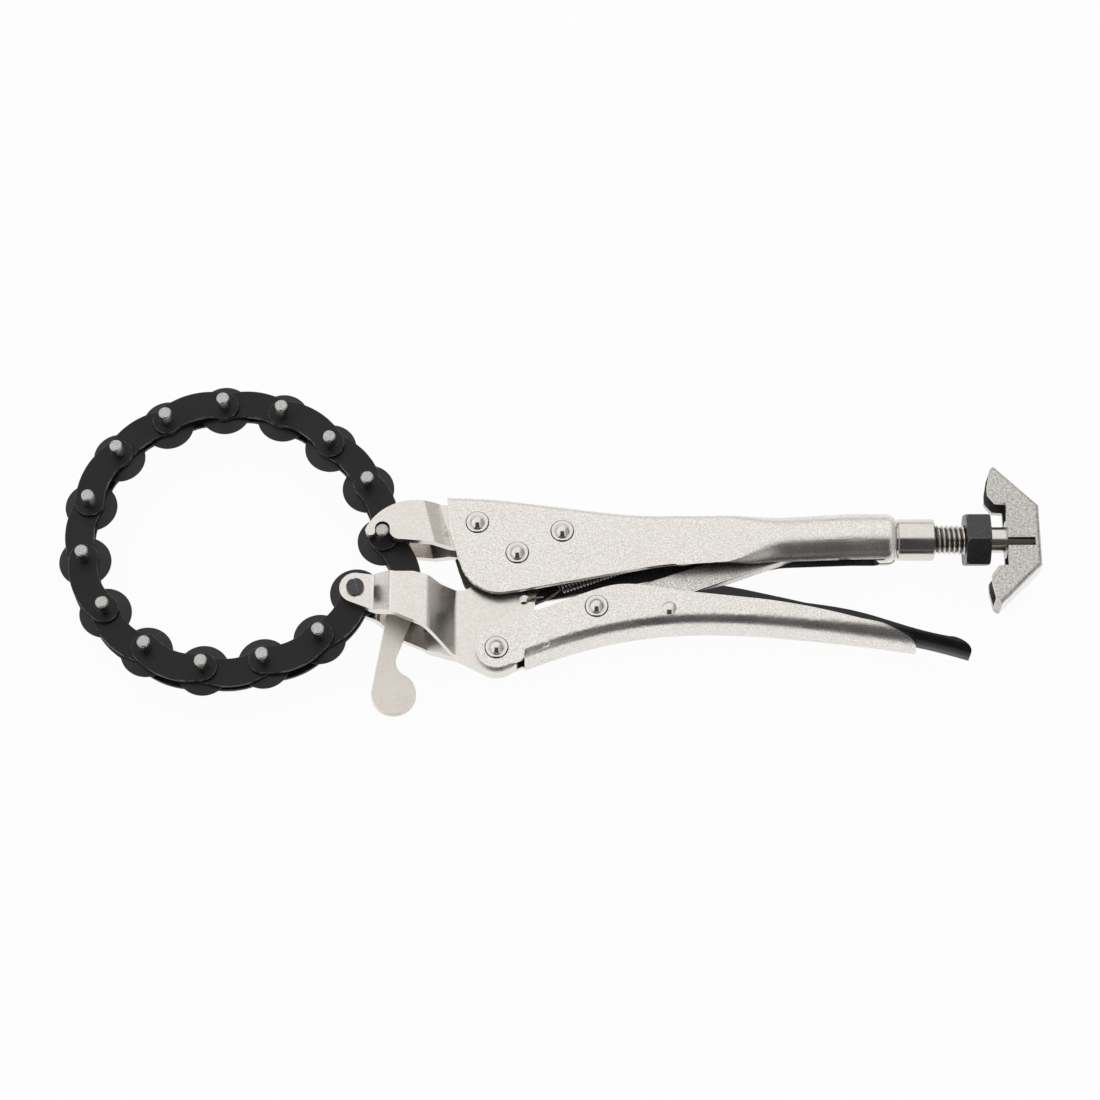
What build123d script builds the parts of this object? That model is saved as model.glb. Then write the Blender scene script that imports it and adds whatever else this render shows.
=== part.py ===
from build123d import *
import os
from math import acos, atan2, cos, degrees, radians, sin, sqrt

# Chain pipe cutter with a locking plier grip, lying flat.
# Work frame: the lower jaw's pivot is at x = y = 0 and the tool's middle plane is z = 0.
# +X runs along the handles to the wing, +Y to the upper handle, +Z to the near side.
# At the end everything is moved so that the lower jaw's bowed face rests on z = 0
# with the centre of that face at the origin.

# Chain
pitch = 19.05
pin_radius = 2.05
pin_half_length = 9.8
pin_chamfer = 0.4
wheel_radius = 8.3
wheel_thickness = 2.2
wheel_edge = 0.4
wheel_bevel = 1.7
link_plate = 1.3
link_end_radius = 4.6
link_rise = 2.45
chain_play = 0.15
running_fit = 0.08
press_fit = 0.01
anchor_heading = -125.5
chain_turns = [-29.0, -18.5, -26.0, -25.0, -23.0, -25.5, -22.5, -27.5, -21.5, -24.0, -26.5, -14.5, -25.0]
tail_heading = -66.0
wheel_count = len(chain_turns) + 2

# Pull tab at the end of the chain
tab_thickness = 2.0
tab_end_radius = 4.8
tab_disc_radius = 7.0
tab_disc_offset = 3.5
tab_length = 34.5
tab_neck_width = 5.4
tail_rivet_radius = 2.0
tail_rivet_head = 0.8

# Sheet metal stack, counted outward from the middle plane
jaw_plate = 2.65
upper_jaw_plate = 2.55
stack_clearance = 0.1
handle_sheet = 1.8

# Lower jaw
anchor_x = -51.0
anchor_y = -11.1
tip_radius = 5.0
tip_bend_x = -44.2
bow_start_x = -38.2
bow_end_x = -29.0
rear_bend_x = -20.7
bow_clearance = 0.2
bow_top_y = -8.5
bow_bottom_y = -24.7
rear_top_y = -11.1
rear_bottom_y = -32.3
jaw_pivot_lobe = 8.2
handle_pivot_x = -6.4
handle_pivot_y = -31.0
handle_pivot_lobe = 7.7
spring_hole_x = 2.2
spring_hole_y = -14.3
spring_hole_radius = 1.6
spring_lobe = 3.3

# Upper jaw
hook_play = 0.3
hook_depth = 1.1
finger_width = 2.9
upper_jaw_level = 5.75
upper_jaw_bend_x = -30.2
upper_jaw_bend_run = 5.0
upper_jaw_bend_tilt = 14.0
upper_jaw_top_y = 17.6
upper_jaw_bottom_y = 3.7
jaw_rivet_1 = (-12.7, 10.4)
jaw_rivet_2 = (14.2, 7.4)

# Upper handle
side_inner = 5.45
front_fold_radius = 3.0
tube_radius = 8.25
tube_axis_y = 7.4
tube_start_x = 76.0
tube_end_x = 120.5
tube_slot = 5.2
tube_seam = 0.8
tube_crimp = 1.2
taper_start_x = 48.0
tube_round_x = 106.0

# Adjusting screw
bush_radius = 6.65
bush_projection = 12.0
bush_insertion = 12.0
bush_chamfer = 0.6
screw_radius = 4.76
screw_shank_radius = 4.15
nut_across_flats = 16.0
nut_thickness = 7.8
nut_turn = 20.0
nut_gap = 9.8
wing_gap = 5.4
wing_sheet = 1.9
wing_half_width = 5.3
wing_depth = 10.6
wing_half_height = 22.8
wing_flat_half = 10.2
wing_claw_half = 10.7
wing_claw_depth = 5.6
wing_slot = 2.5
wing_slot_offset = 2.7

# Lower handle
ear_radius = 6.6
channel_start_x = 2.4
joggle_end_x = 7.9
joggle_end_y = -24.7
joggle_run = 5.5
joggle_tilt = 19.5
lower_handle_end_x = 125.2
channel_radius = 4.6
toggle_pivot_x = 24.9
toggle_pivot_y = -18.2
lever_pivot_x = 47.7
lever_pivot_y = -18.8

# Toggle link
toggle_thickness = 4.0
toggle_front_radius = 4.3
toggle_rear_radius = 3.7
toggle_end_x = 92.5
toggle_end_y = 6.2
toggle_tip_gap = 0.8

# Release lever
lever_sheet = 1.5
lever_half_width = 5.0
lever_radius = 4.2
lever_end_x = 142.0

# Rivets
rivet_shank_radius = 2.5
rivet_flange_radius = 3.5
rivet_flange = 0.5
rivet_dome_radius = 2.3
rivet_dome_height = 1.5
small_rivet_radius = 1.6

# Tension spring
spring_wire = 0.9
spring_coil_radius = 1.8
spring_start = (13.5, -8.9)
spring_end = (41.0, 0.7)
spring_anchor_x = 47.0
spring_anchor_y = 2.9
spring_anchor_radius = 1.5

# Levels that follow from the stack
inner_link_low = wheel_thickness / 2 + chain_play
inner_link_high = inner_link_low + link_plate
outer_link_low = inner_link_high + 0.1
outer_link_high = outer_link_low + link_plate
tip_low = inner_link_high + chain_play
bow_low = pin_half_length + bow_clearance
bow_high = bow_low + jaw_plate
jaw_high = jaw_plate
upper_jaw_rear_low = jaw_high + stack_clearance
side_outer = side_inner + handle_sheet
ear_low = jaw_high + stack_clearance
ear_high = ear_low + handle_sheet

parts = {}


def polar(length, heading):
    return Vector(length * cos(radians(heading)), length * sin(radians(heading)))


def disc(x, y, radius):
    return Pos(x, y) * Circle(radius)


def slab(face, low, high):
    return extrude(Pos(0, 0, low) * face, amount=high - low)


def flip(shape):
    return mirror(shape, about=Plane.XY)


def both_sides(shape):
    return Compound(children=[shape, flip(shape)])


def bar(x, y, radius, low, high):
    return Pos(x, y, (low + high) / 2) * Cylinder(radius, high - low)


def tangent_points(centre_1, radius_1, centre_2, radius_2, side):
    """Ends of the straight edge that touches two round lobes on one side of the line between them."""
    step = Vector(*centre_2) - Vector(*centre_1)
    heading = atan2(step.Y, step.X) + side * acos((radius_1 - radius_2) / step.length)
    normal = Vector(cos(heading), sin(heading))
    return Vector(*centre_1) + normal * radius_1, Vector(*centre_2) + normal * radius_2


def strap(centre_1, radius_1, centre_2, radius_2):
    """Flat bar with a round lobe at each end."""
    left = tangent_points(centre_1, radius_1, centre_2, radius_2, 1)
    right = tangent_points(centre_1, radius_1, centre_2, radius_2, -1)
    body = make_face(Polyline(left[0], left[1], right[1], right[0], close=True))
    return body + disc(*centre_1, radius_1) + disc(*centre_2, radius_2)


def bent_sheet(stations, thickness, half_length):
    """Sheet that follows (x, underside z) stations and is long in Y, with corners as a press leaves them."""
    lower = [Vector(x, z) for x, z in stations]
    offset_points = []
    for index, point in enumerate(lower):
        before = lower[max(index - 1, 0)]
        after = lower[min(index + 1, len(lower) - 1)]
        run_in = (point - before).normalized() if index > 0 else (after - point).normalized()
        run_out = (after - point).normalized() if index < len(lower) - 1 else run_in
        middle = (run_in + run_out).normalized()
        normal = Vector(-middle.Y, middle.X)
        offset_points.append(point + normal * (thickness / abs(middle.dot(run_in))))
    section = make_face(Polyline(*lower, *reversed(offset_points), close=True))
    return extrude(Plane.XZ * section, amount=half_length, both=True)


# Chain pins: heading by heading from the anchor screw to the hooked pin, then the tail
headings = [anchor_heading]
for turn in chain_turns:
    headings.append(headings[-1] + turn)
pin_centres = [Vector(anchor_x, anchor_y)]
for heading in headings:
    pin_centres.append(pin_centres[-1] + polar(pitch, heading))
hook = pin_centres[-1]
tail = hook + polar(pitch, tail_heading)
headings.append(tail_heading)


def link_face(hole_radius):
    """Banana-shaped plate between two pins: it bulges away from the pipe and is hollow towards it."""
    centre_radius = (pitch * pitch / 4 + link_rise * link_rise) / (2 * link_rise)
    centre = Vector(pitch / 2, link_rise - centre_radius)
    out_0 = (Vector(0, 0) - centre).normalized()
    out_1 = (Vector(pitch, 0) - centre).normalized()
    end_0 = Vector(-out_0.Y, out_0.X)
    end_1 = Vector(out_1.Y, -out_1.X)
    second = Vector(pitch, 0)
    reach = link_end_radius
    top = centre + Vector(0, centre_radius + reach)
    hollow = centre + Vector(0, centre_radius - reach)
    with BuildLine() as edge:
        ThreePointArc(out_0 * reach, top, second + out_1 * reach)
        ThreePointArc(second + out_1 * reach, second + end_1 * reach, second - out_1 * reach)
        ThreePointArc(second - out_1 * reach, hollow, -out_0 * reach)
        ThreePointArc(-out_0 * reach, end_0 * reach, out_0 * reach)
    return make_face(edge.edges()) - disc(0, 0, hole_radius) - disc(pitch, 0, hole_radius)


def place_link(shape, number):
    start = pin_centres[number - 1]
    return Pos(start.X, start.Y) * Rot(0, 0, headings[number - 1]) * shape


inner_plate = slab(link_face(pin_radius + running_fit), inner_link_low, inner_link_high)
outer_plate = slab(link_face(pin_radius + press_fit), outer_link_low, outer_link_high)
tail_link_number = len(headings)
for number in range(1, tail_link_number + 1):
    if number % 2 == 1:
        parts[f"inner_link_{number:02d}"] = both_sides(place_link(inner_plate, number))
    else:
        parts[f"outer_link_{number:02d}"] = both_sides(place_link(outer_plate, number))

chain_pin = Cylinder(pin_radius, 2 * pin_half_length)
chain_pin = chamfer(chain_pin.edges().filter_by(GeomType.CIRCLE), pin_chamfer)
for number in range(2, tail_link_number, 2):
    pair = [Pos(c.X, c.Y) * chain_pin for c in pin_centres[number - 1:number + 1]]
    parts[f"link_pins_{number:02d}"] = Compound(children=pair)

wheel = Cylinder(wheel_radius, wheel_thickness)
wheel = chamfer(
    wheel.edges().filter_by(GeomType.CIRCLE),
    (wheel_thickness - wheel_edge) / 2,
    wheel_bevel,
    reference=wheel.faces().filter_by(GeomType.CYLINDER)[0],
)
wheel = wheel - Cylinder(pin_radius + running_fit, wheel_thickness)
for index in range(wheel_count):
    centre = pin_centres[index]
    parts[f"cutting_wheel_{index:02d}"] = Pos(centre.X, centre.Y) * wheel

# Pull tab and its short rivet
disc_centre = (tail.X - tab_disc_offset, tail.Y - tab_length)
left_edge = tangent_points((tail.X, tail.Y), tab_end_radius, disc_centre, tab_disc_radius, -1)
right_edge = tangent_points((tail.X, tail.Y), tab_end_radius, disc_centre, tab_disc_radius, 1)
neck_y = tail.Y - tab_length + tab_disc_radius + 4.0
neck_left = left_edge[0] + (left_edge[1] - left_edge[0]) * ((left_edge[0].Y - neck_y) / (left_edge[0].Y - left_edge[1].Y))
neck_point = Vector(neck_left.X + tab_neck_width, neck_y)
disc_join = Vector(*disc_centre) + polar(tab_disc_radius, 57.0)
neck_start = neck_point + (right_edge[0] - neck_point) * 0.12
with BuildLine() as tab_edge:
    Line(left_edge[0], left_edge[1])
    ThreePointArc(left_edge[1], Vector(*disc_centre) + polar(tab_disc_radius, -62.0), disc_join)
    ThreePointArc(disc_join, neck_point + Vector(0.4, -1.4), neck_start)
    Line(neck_start, right_edge[0])
    ThreePointArc(right_edge[0], tail + polar(tab_end_radius, 85.0), left_edge[0])
tab_face = make_face(tab_edge.edges()) - disc(tail.X, tail.Y, tail_rivet_radius + running_fit)
parts["pull_tab"] = slab(tab_face, -tab_thickness / 2, tab_thickness / 2)
tail_half = inner_link_high
tail_rivet = bar(tail.X, tail.Y, tail_rivet_radius, -tail_half, tail_half)
tail_head = bar(tail.X, tail.Y, link_end_radius - 1.4, tail_half, tail_half + tail_rivet_head)
parts["tail_rivet"] = tail_rivet + tail_head + flip(tail_head)

# Lower jaw: one outline for both plates, pressed to four levels
anchor = (anchor_x, anchor_y)
pivot_b = (handle_pivot_x, handle_pivot_y)
spring_hole = (spring_hole_x, spring_hole_y)
tip_top = Vector(anchor_x + 1.0, anchor_y + sqrt(tip_radius ** 2 - 1.0))
tip_bottom = Vector(*anchor) + polar(tip_radius, -114.0)
lobe_left = tangent_points((rear_bend_x, rear_bottom_y), 0.001, pivot_b, handle_pivot_lobe, -1)[1]
lobe_right = tangent_points(pivot_b, handle_pivot_lobe, spring_hole, spring_lobe, -1)
hole_to_pivot = tangent_points(spring_hole, spring_lobe, (0, 0), jaw_pivot_lobe, -1)
pivot_left = polar(jaw_pivot_lobe, 190.0)
lobe_out = (hole_to_pivot[0] + lobe_right[1]) / 2 - Vector(*spring_hole)
lobe_middle = Vector(*spring_hole) + lobe_out.normalized() * spring_lobe
with BuildLine() as jaw_edge:
    ThreePointArc(tip_bottom, Vector(*anchor) + polar(tip_radius, 172.0), tip_top)
    Polyline(
        tip_top,
        (tip_bend_x, tip_top.Y - 0.7),
        (bow_start_x, bow_top_y),
        (bow_end_x - 3.5, bow_top_y),
        (bow_end_x, bow_top_y - 0.9),
        (rear_bend_x - 3.2, rear_top_y),
        (rear_bend_x + 4.2, rear_top_y),
    )
    ThreePointArc((rear_bend_x + 4.2, rear_top_y), (rear_bend_x + 8.0, rear_top_y + 3.0), pivot_left)
    ThreePointArc(pivot_left, polar(jaw_pivot_lobe, 80.0), hole_to_pivot[1])
    Line(hole_to_pivot[1], hole_to_pivot[0])
    ThreePointArc(hole_to_pivot[0], lobe_middle, lobe_right[1])
    Line(lobe_right[1], lobe_right[0])
    ThreePointArc(lobe_right[0], Vector(*pivot_b) + polar(handle_pivot_lobe, -60.0), lobe_left)
    Polyline(
        lobe_left,
        (rear_bend_x, rear_bottom_y),
        (rear_bend_x - 4.5, rear_bottom_y + 3.4),
        (bow_end_x - 1.0, bow_bottom_y - 1.1),
        (bow_start_x + 1.0, bow_bottom_y + 2.0),
        (tip_bend_x + 1.0, anchor_y - 8.4),
        tip_bottom,
    )
jaw_face = make_face(jaw_edge.edges())
jaw_holes = (
    disc(*anchor, pin_radius + press_fit)
    + disc(0, 0, rivet_shank_radius + running_fit)
    + disc(*pivot_b, rivet_shank_radius + running_fit)
    + disc(*spring_hole, spring_hole_radius)
)
jaw_sheet = bent_sheet(
    [
        (anchor_x - 2 * tip_radius, tip_low),
        (tip_bend_x, tip_low),
        (bow_start_x, bow_low),
        (bow_end_x, bow_low),
        (rear_bend_x, 0),
        (spring_hole_x + 3 * spring_lobe, 0),
    ],
    jaw_plate,
    60,
)
jaw_face = jaw_face - jaw_holes
parts["lower_jaw_near_plate"] = jaw_sheet & slab(jaw_face, -1, bow_high + 1)
parts["lower_jaw_far_plate"] = flip(jaw_sheet) & slab(jaw_face, -bow_high - 1, 1)
rest_x = (bow_start_x + bow_end_x) / 2
rest_y = (bow_top_y + bow_bottom_y) / 2

tip_high = tip_low + jaw_plate
head_height = 1.2
screw_head = bar(*anchor, 2.8, tip_high, tip_high + head_height)
slot_cut = Pos(anchor_x, anchor_y, tip_high + head_height) * Rot(0, 0, 105) * Box(8, 0.8, 1.2)
anchor_nut_height = 2.4
anchor_shank = bar(*anchor, pin_radius, -tip_high - anchor_nut_height - 0.5, tip_high)
parts["chain_anchor_screw"] = anchor_shank + (screw_head - slot_cut)
anchor_nut = Pos(anchor_x, anchor_y, -tip_high) * extrude(RegularPolygon(3.6, 6, major_radius=False), -anchor_nut_height)
parts["chain_anchor_nut"] = anchor_nut - bar(*anchor, pin_radius + press_fit, -tip_high - anchor_nut_height, -tip_high)

# Upper jaw: the finger hooks over the pin, the plates then step in between the handle's sides
hook_radius = pin_radius + hook_play
notch_top = hook.Y + hook_depth
finger_left = hook.X - hook_radius - finger_width
finger_tip_y = hook.Y - 0.6
heel_x = hook.X + hook_radius
with BuildLine() as upper_edge:
    Polyline((hook.X - hook_radius, finger_tip_y), (hook.X - hook_radius, notch_top))
    ThreePointArc((hook.X - hook_radius, notch_top), (hook.X, notch_top + hook_radius), (heel_x, notch_top))
    Polyline((heel_x, notch_top), (heel_x, hook.Y - 0.2))
    ThreePointArc((heel_x, hook.Y - 0.2), (heel_x + 1.2, hook.Y - 1.9), (heel_x + 3.8, hook.Y - 2.6))
    Polyline(
        (heel_x + 3.8, hook.Y - 2.6),
        (upper_jaw_bend_x, upper_jaw_bottom_y),
        (jaw_rivet_1[0] - 6.5, upper_jaw_bottom_y - 1.2),
        (jaw_rivet_1[0] - 1.0, upper_jaw_bottom_y - 6.0),
        (-7.0, -6.2),
    )
    ThreePointArc((-7.0, -6.2), (-1.0, -9.3), (6.0, -7.2))
    Polyline((6.0, -7.2), (jaw_rivet_2[0] + 2.6, jaw_rivet_2[1] - 5.5))
    ThreePointArc(
        (jaw_rivet_2[0] + 2.6, jaw_rivet_2[1] - 5.5),
        (jaw_rivet_2[0] + 6.0, jaw_rivet_2[1]),
        (jaw_rivet_2[0] + 2.0, jaw_rivet_2[1] + 5.4),
    )
    Polyline(
        (jaw_rivet_2[0] + 2.0, jaw_rivet_2[1] + 5.4),
        (jaw_rivet_1[0] + 4.0, upper_jaw_top_y - 2.6),
        (jaw_rivet_1[0] - 8.0, upper_jaw_top_y - 0.7),
        (upper_jaw_bend_x + 4.0, upper_jaw_top_y),
        (upper_jaw_bend_x, upper_jaw_top_y),
    )
    ThreePointArc(
        (upper_jaw_bend_x, upper_jaw_top_y),
        (hook.X + 1.8, upper_jaw_top_y - 2.1),
        (finger_left, hook.Y + 1.2),
    )
    ThreePointArc(
        (finger_left, hook.Y + 1.2),
        (finger_left + 0.9, finger_tip_y - 0.5),
        (hook.X - hook_radius, finger_tip_y),
    )
upper_face = make_face(upper_edge.edges())
for centre in (jaw_rivet_1, jaw_rivet_2, (0, 0)):
    upper_face -= disc(*centre, rivet_shank_radius + press_fit)
upper_sheet = bent_sheet(
    [
        (-40, upper_jaw_level),
        (0, upper_jaw_level),
        (upper_jaw_bend_run, upper_jaw_rear_low),
        (80, upper_jaw_rear_low),
    ],
    upper_jaw_plate,
    60,
)
bend_middle_y = (upper_jaw_top_y + upper_jaw_bottom_y) / 2
upper_sheet = Pos(upper_jaw_bend_x + 1.4, bend_middle_y) * Rot(0, 0, upper_jaw_bend_tilt) * upper_sheet
parts["upper_jaw_near_plate"] = upper_sheet & slab(upper_face, 0, 20)
parts["upper_jaw_far_plate"] = flip(upper_sheet) & slab(upper_face, -20, 0)

# Upper handle: a folded channel at the front that closes into a slotted tube at the rear
top_line = [(-22.4, 19.9), (-12.5, 19.6), (4.5, 17.8), (22.8, 15.4), (36.1, 13.9), (taper_start_x, 13.6)]
lip_line = [(taper_start_x, -3.9), (35.9, -5.9), (11.8, -10.5), (0.0, -12.7)]
front_line = [lip_line[-1], (-7.4, -13.3), (-14.2, -9.8), (-18.8, -1.2), (-21.3, 7.0), top_line[0]]
tube_top = tube_axis_y + tube_radius
tube_bottom = tube_axis_y - tube_radius
round_corner = 0.05
taper_stations = [
    (taper_start_x, 13.6, -8.0, side_outer, front_fold_radius),
    (62.0, 13.6, -3.2, side_outer, 5.6),
    (tube_start_x, 14.0, -2.0, 7.7, 7.7 - round_corner),
]
tube_stations = [taper_stations[-1], (tube_round_x, tube_top, tube_bottom, tube_radius, tube_radius - round_corner)]


def cross_section(x, top, bottom, half, corner):
    """Rounded rectangle across a handle at one station along X."""
    place = Plane(origin=(x, (top + bottom) / 2, 0), x_dir=(0, 1, 0), z_dir=(1, 0, 0))
    return place * RectangleRounded(top - bottom, 2 * half, corner)


def handle_loft(stations, inset):
    sections = []
    for x, top, bottom, half, corner in stations:
        sections.append(cross_section(x, top - inset, bottom + inset, half - inset, corner - inset))
    return loft(sections)


def fold(solid, half, radius):
    """Round the long edges where the top of the front channel is folded over."""
    ridge = solid.edges().filter_by(
        lambda e: abs(abs(e.center().Z) - half) < 0.01 and e.center().Y > 10 and e.length > 50
    )
    return fillet(ridge, radius)


with BuildLine() as handle_edge:
    Spline(*top_line, tangents=((1, -0.02), (1, 0)))
    Line(top_line[-1], lip_line[0])
    Spline(*lip_line, tangents=((-1, -0.1), (-1, -0.15)))
    Spline(*front_line, tangents=((-1, -0.15), (-0.05, 1)))
front_outer = fold(slab(make_face(handle_edge.edges()), -side_outer, side_outer), side_outer, front_fold_radius)
room_top = [(x, y - handle_sheet) for x, y in top_line]
with BuildLine() as room_edge:
    Line((room_top[0][0] - 10, room_top[0][1]), room_top[0])
    Spline(*room_top, tangents=((1, -0.02), (1, 0)))
    Polyline(room_top[-1], (taper_start_x, -30), (room_top[0][0] - 10, -30), (room_top[0][0] - 10, room_top[0][1]))
front_inner = fold(
    slab(make_face(room_edge.edges()), -side_inner, side_inner), side_inner, front_fold_radius - handle_sheet
)
tube_end = extrude(cross_section(*tube_stations[-1]), amount=tube_end_x - tube_round_x)
tube_end = chamfer(tube_end.edges().group_by(Axis.X)[-1], tube_crimp)
tube_room = (tube_round_x, tube_top - handle_sheet, tube_bottom + handle_sheet, tube_radius - handle_sheet)
tube_void = extrude(
    cross_section(*tube_room, tube_radius - handle_sheet - round_corner), amount=tube_end_x - tube_round_x
)
mouth_points = [
    (taper_start_x - 2, side_inner),
    (60.0, side_inner),
    (tube_start_x - 5, tube_slot / 2),
    (tube_end_x - 7, tube_slot / 2),
    (tube_end_x - 5.5, tube_seam / 2),
    (tube_end_x + 1, tube_seam / 2),
]
mouth = make_face(Polyline(*mouth_points, *[(x, -z) for x, z in reversed(mouth_points)], close=True))
mouth = extrude(Plane(origin=(0, 4, 0), x_dir=(1, 0, 0), z_dir=(0, -1, 0)) * mouth, amount=20)
lip_trim = make_face(
    Polyline(lip_line[0], (62.0, -2.9), (62.0, -20), (lip_line[0][0], -20), close=True)
)
upper_handle = front_outer + handle_loft(taper_stations, 0) + handle_loft(tube_stations, 0) + tube_end
for void in (front_inner, handle_loft(taper_stations, handle_sheet), handle_loft(tube_stations, handle_sheet)):
    upper_handle -= void
upper_handle = upper_handle - tube_void - mouth - slab(lip_trim, -2 * side_outer, 2 * side_outer)
for centre in (jaw_rivet_1, jaw_rivet_2, (0, 0)):
    upper_handle -= bar(*centre, rivet_shank_radius + press_fit, -2 * side_outer, 2 * side_outer)
parts["upper_handle"] = upper_handle


def rivet(x, y, face_level, shank_radius):
    """Riveted pin with a flat flange and a domed head on both sides."""
    shank = bar(x, y, shank_radius, -face_level, face_level)
    flange = bar(x, y, rivet_flange_radius, face_level, face_level + rivet_flange)
    ball = (rivet_dome_radius ** 2 + rivet_dome_height ** 2) / (2 * rivet_dome_height)
    cap = Pos(x, y, face_level + rivet_flange + rivet_dome_height - ball) * Sphere(ball)
    cap = cap & bar(x, y, rivet_dome_radius + 1, face_level + rivet_flange / 2, face_level + 10)
    head = flange + cap
    return shank + head + flip(head)


parts["jaw_pivot_rivet"] = rivet(0, 0, side_outer, rivet_shank_radius)
parts["upper_jaw_rivets"] = Compound(
    children=[rivet(*centre, side_outer, rivet_shank_radius) for centre in (jaw_rivet_1, jaw_rivet_2)]
)

# Threaded bush, adjusting screw, lock nut and wing
bush_end_x = tube_end_x + bush_projection
axis_place = Pos(0, tube_axis_y) * Rot(0, 90, 0)


def turned(radius, start_x, end_x):
    return axis_place * Pos(0, 0, (start_x + end_x) / 2) * Cylinder(radius, end_x - start_x)


bush = turned(bush_radius, tube_end_x, bush_end_x)
bush = chamfer(bush.edges().sort_by(Axis.X)[-1:], bush_chamfer)
bush += turned(tube_radius - handle_sheet - press_fit, tube_end_x - bush_insertion, tube_end_x)
parts["screw_bush"] = bush - turned(screw_radius + running_fit, tube_end_x - 50, bush_end_x + 1)

screw_tip_x = toggle_end_x + toggle_rear_radius + toggle_tip_gap
nut_start_x = bush_end_x + nut_gap
nut_end_x = nut_start_x + nut_thickness
wing_start_x = nut_end_x + wing_gap
wing_end_x = wing_start_x + wing_depth
shank_end_x = wing_end_x - wing_sheet - press_fit
screw = turned(screw_radius, screw_tip_x, nut_end_x)
screw = chamfer(screw.edges().sort_by(Axis.X)[:1], 0.8)
parts["adjusting_screw"] = screw + turned(screw_shank_radius, nut_end_x, shank_end_x)

nut = extrude(RegularPolygon(nut_across_flats / 2, 6, major_radius=False), nut_thickness / 2, both=True)
nut_cone = Cylinder(nut_across_flats / 2 / cos(radians(30)), nut_thickness)
nut_cone = chamfer(nut_cone.edges().filter_by(GeomType.CIRCLE), 1.0, 0.6)
nut = (nut & nut_cone) - Cylinder(screw_radius + running_fit, nut_thickness)
parts["lock_nut"] = axis_place * Pos(0, 0, (nut_start_x + nut_end_x) / 2) * Rot(0, 0, nut_turn) * nut

# Wing: one folded sheet with a back, four claws and a half sleeve round the shank on each face
claw_tip_x = wing_start_x - 4.5
claw_side_x = wing_start_x - wing_claw_depth
wing_half = [
    (wing_end_x, 0),
    (wing_end_x, wing_flat_half),
    (claw_tip_x + 1.6, wing_half_height + 0.9),
    (claw_tip_x, wing_half_height - 0.5),
    (claw_side_x, wing_claw_half + 6.0),
    (claw_side_x, wing_claw_half + 3.2),
    (claw_side_x + 2.2, wing_claw_half + 0.3),
    (wing_start_x, wing_claw_half),
    (wing_start_x, 0),
]
wing_upper = make_face(Polyline(*wing_half, close=True))
wing_face = wing_upper + mirror(wing_upper, about=Plane.XZ)
wing_solid = slab(wing_face, -wing_half_width, wing_half_width)
back_edges = wing_solid.edges().filter_by(
    lambda e: abs(abs(e.center().Z) - wing_half_width) < 0.01
    and e.center().X > claw_tip_x + 2.6
    and (abs(e.center().X - wing_end_x) < 0.01 or abs(e.center().Y) > wing_flat_half)
    and e.length > 12
)
wing_solid = fillet(back_edges, 1.7)
wing_room = slab(
    make_face(
        Polyline(
            (wing_end_x - wing_sheet, wing_flat_half - 0.8),
            (claw_tip_x + 1.0, wing_half_height + 0.9 - wing_sheet - 0.4),
            (claw_tip_x - 20, wing_half_height + 0.9 - wing_sheet - 0.4),
            (claw_tip_x - 20, -wing_half_height - 0.9 + wing_sheet + 0.4),
            (claw_tip_x + 1.0, -wing_half_height - 0.9 + wing_sheet + 0.4),
            (wing_end_x - wing_sheet, -wing_flat_half + 0.8),
            close=True,
        )
    ),
    -wing_half_width + wing_sheet,
    wing_half_width - wing_sheet,
)
sleeve = Pos((wing_start_x + wing_end_x - wing_sheet) / 2) * Rot(0, 90, 0) * Cylinder(
    screw_shank_radius + wing_sheet, wing_depth - wing_sheet
)
sleeve_bore = Pos((wing_start_x + wing_end_x - wing_sheet) / 2) * Rot(0, 90, 0) * Cylinder(
    screw_shank_radius + press_fit, wing_depth - wing_sheet
)
near_slot = Pos((wing_start_x + wing_end_x - wing_sheet) / 2 - 5, -wing_slot_offset, wing_half_width) * Box(
    wing_depth - wing_sheet + 10, wing_slot, 2 * wing_half_width - 4
)
wing = (wing_solid - wing_room) + sleeve
wing = wing - sleeve_bore - near_slot - Rot(180, 0, 0) * near_slot
parts["wing_handle"] = Pos(0, tube_axis_y) * wing

# Lower handle: a channel with ears at the front, a joggle behind them and a rounded open end
web_stations = [
    (0.0, -36.7, 4.2),
    (18.6, -30.0, 4.6),
    (33.0, -26.4, 4.6),
    (58.0, -23.9, 4.6),
    (80.0, -24.8, 4.8),
    (102.0, -27.4, 5.8),
    (lower_handle_end_x, -31.1, 7.0),
]
rim_line = [(joggle_end_x - 2.6, -19.9), (22.7, -13.2), (31.0, -10.9), (48.8, -12.4), (78.9, -16.0), (107.5, -22.2)]
end_line = [rim_line[-1], (115.0, -24.0), (121.0, -27.0), (lower_handle_end_x, -32.0)]
grip_top = 6.0
grip_stations = [(x, grip_top, y, side_outer, corner) for x, y, corner in web_stations]
with BuildLine() as grip_edge:
    Spline(*rim_line)
    Spline(*end_line, tangents=((1, -0.22), (0.1, -1)))
    Polyline(end_line[-1], (lower_handle_end_x, -50), (rim_line[0][0], -50), rim_line[0])
channel = handle_loft(grip_stations, 0) - handle_loft(
    [(x - 1.0 if x == 0.0 else x, top + 4, bottom, half, corner) for x, top, bottom, half, corner in grip_stations],
    handle_sheet,
)
rear_side = slab(make_face(grip_edge.edges()), -2 * side_outer, 2 * side_outer)
joggle_place = Pos(joggle_end_x, joggle_end_y) * Rot(0, 0, joggle_tilt)
behind_joggle = joggle_place * Pos(lower_handle_end_x, 0) * Box(2 * lower_handle_end_x, 2 * lower_handle_end_x, 60)
grip_channel = channel & rear_side & behind_joggle
web_points = [(channel_start_x, -45), (joggle_end_x + 6, -45), (joggle_end_x + 2.5, -29.0), (channel_start_x, -32.6)]
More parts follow.
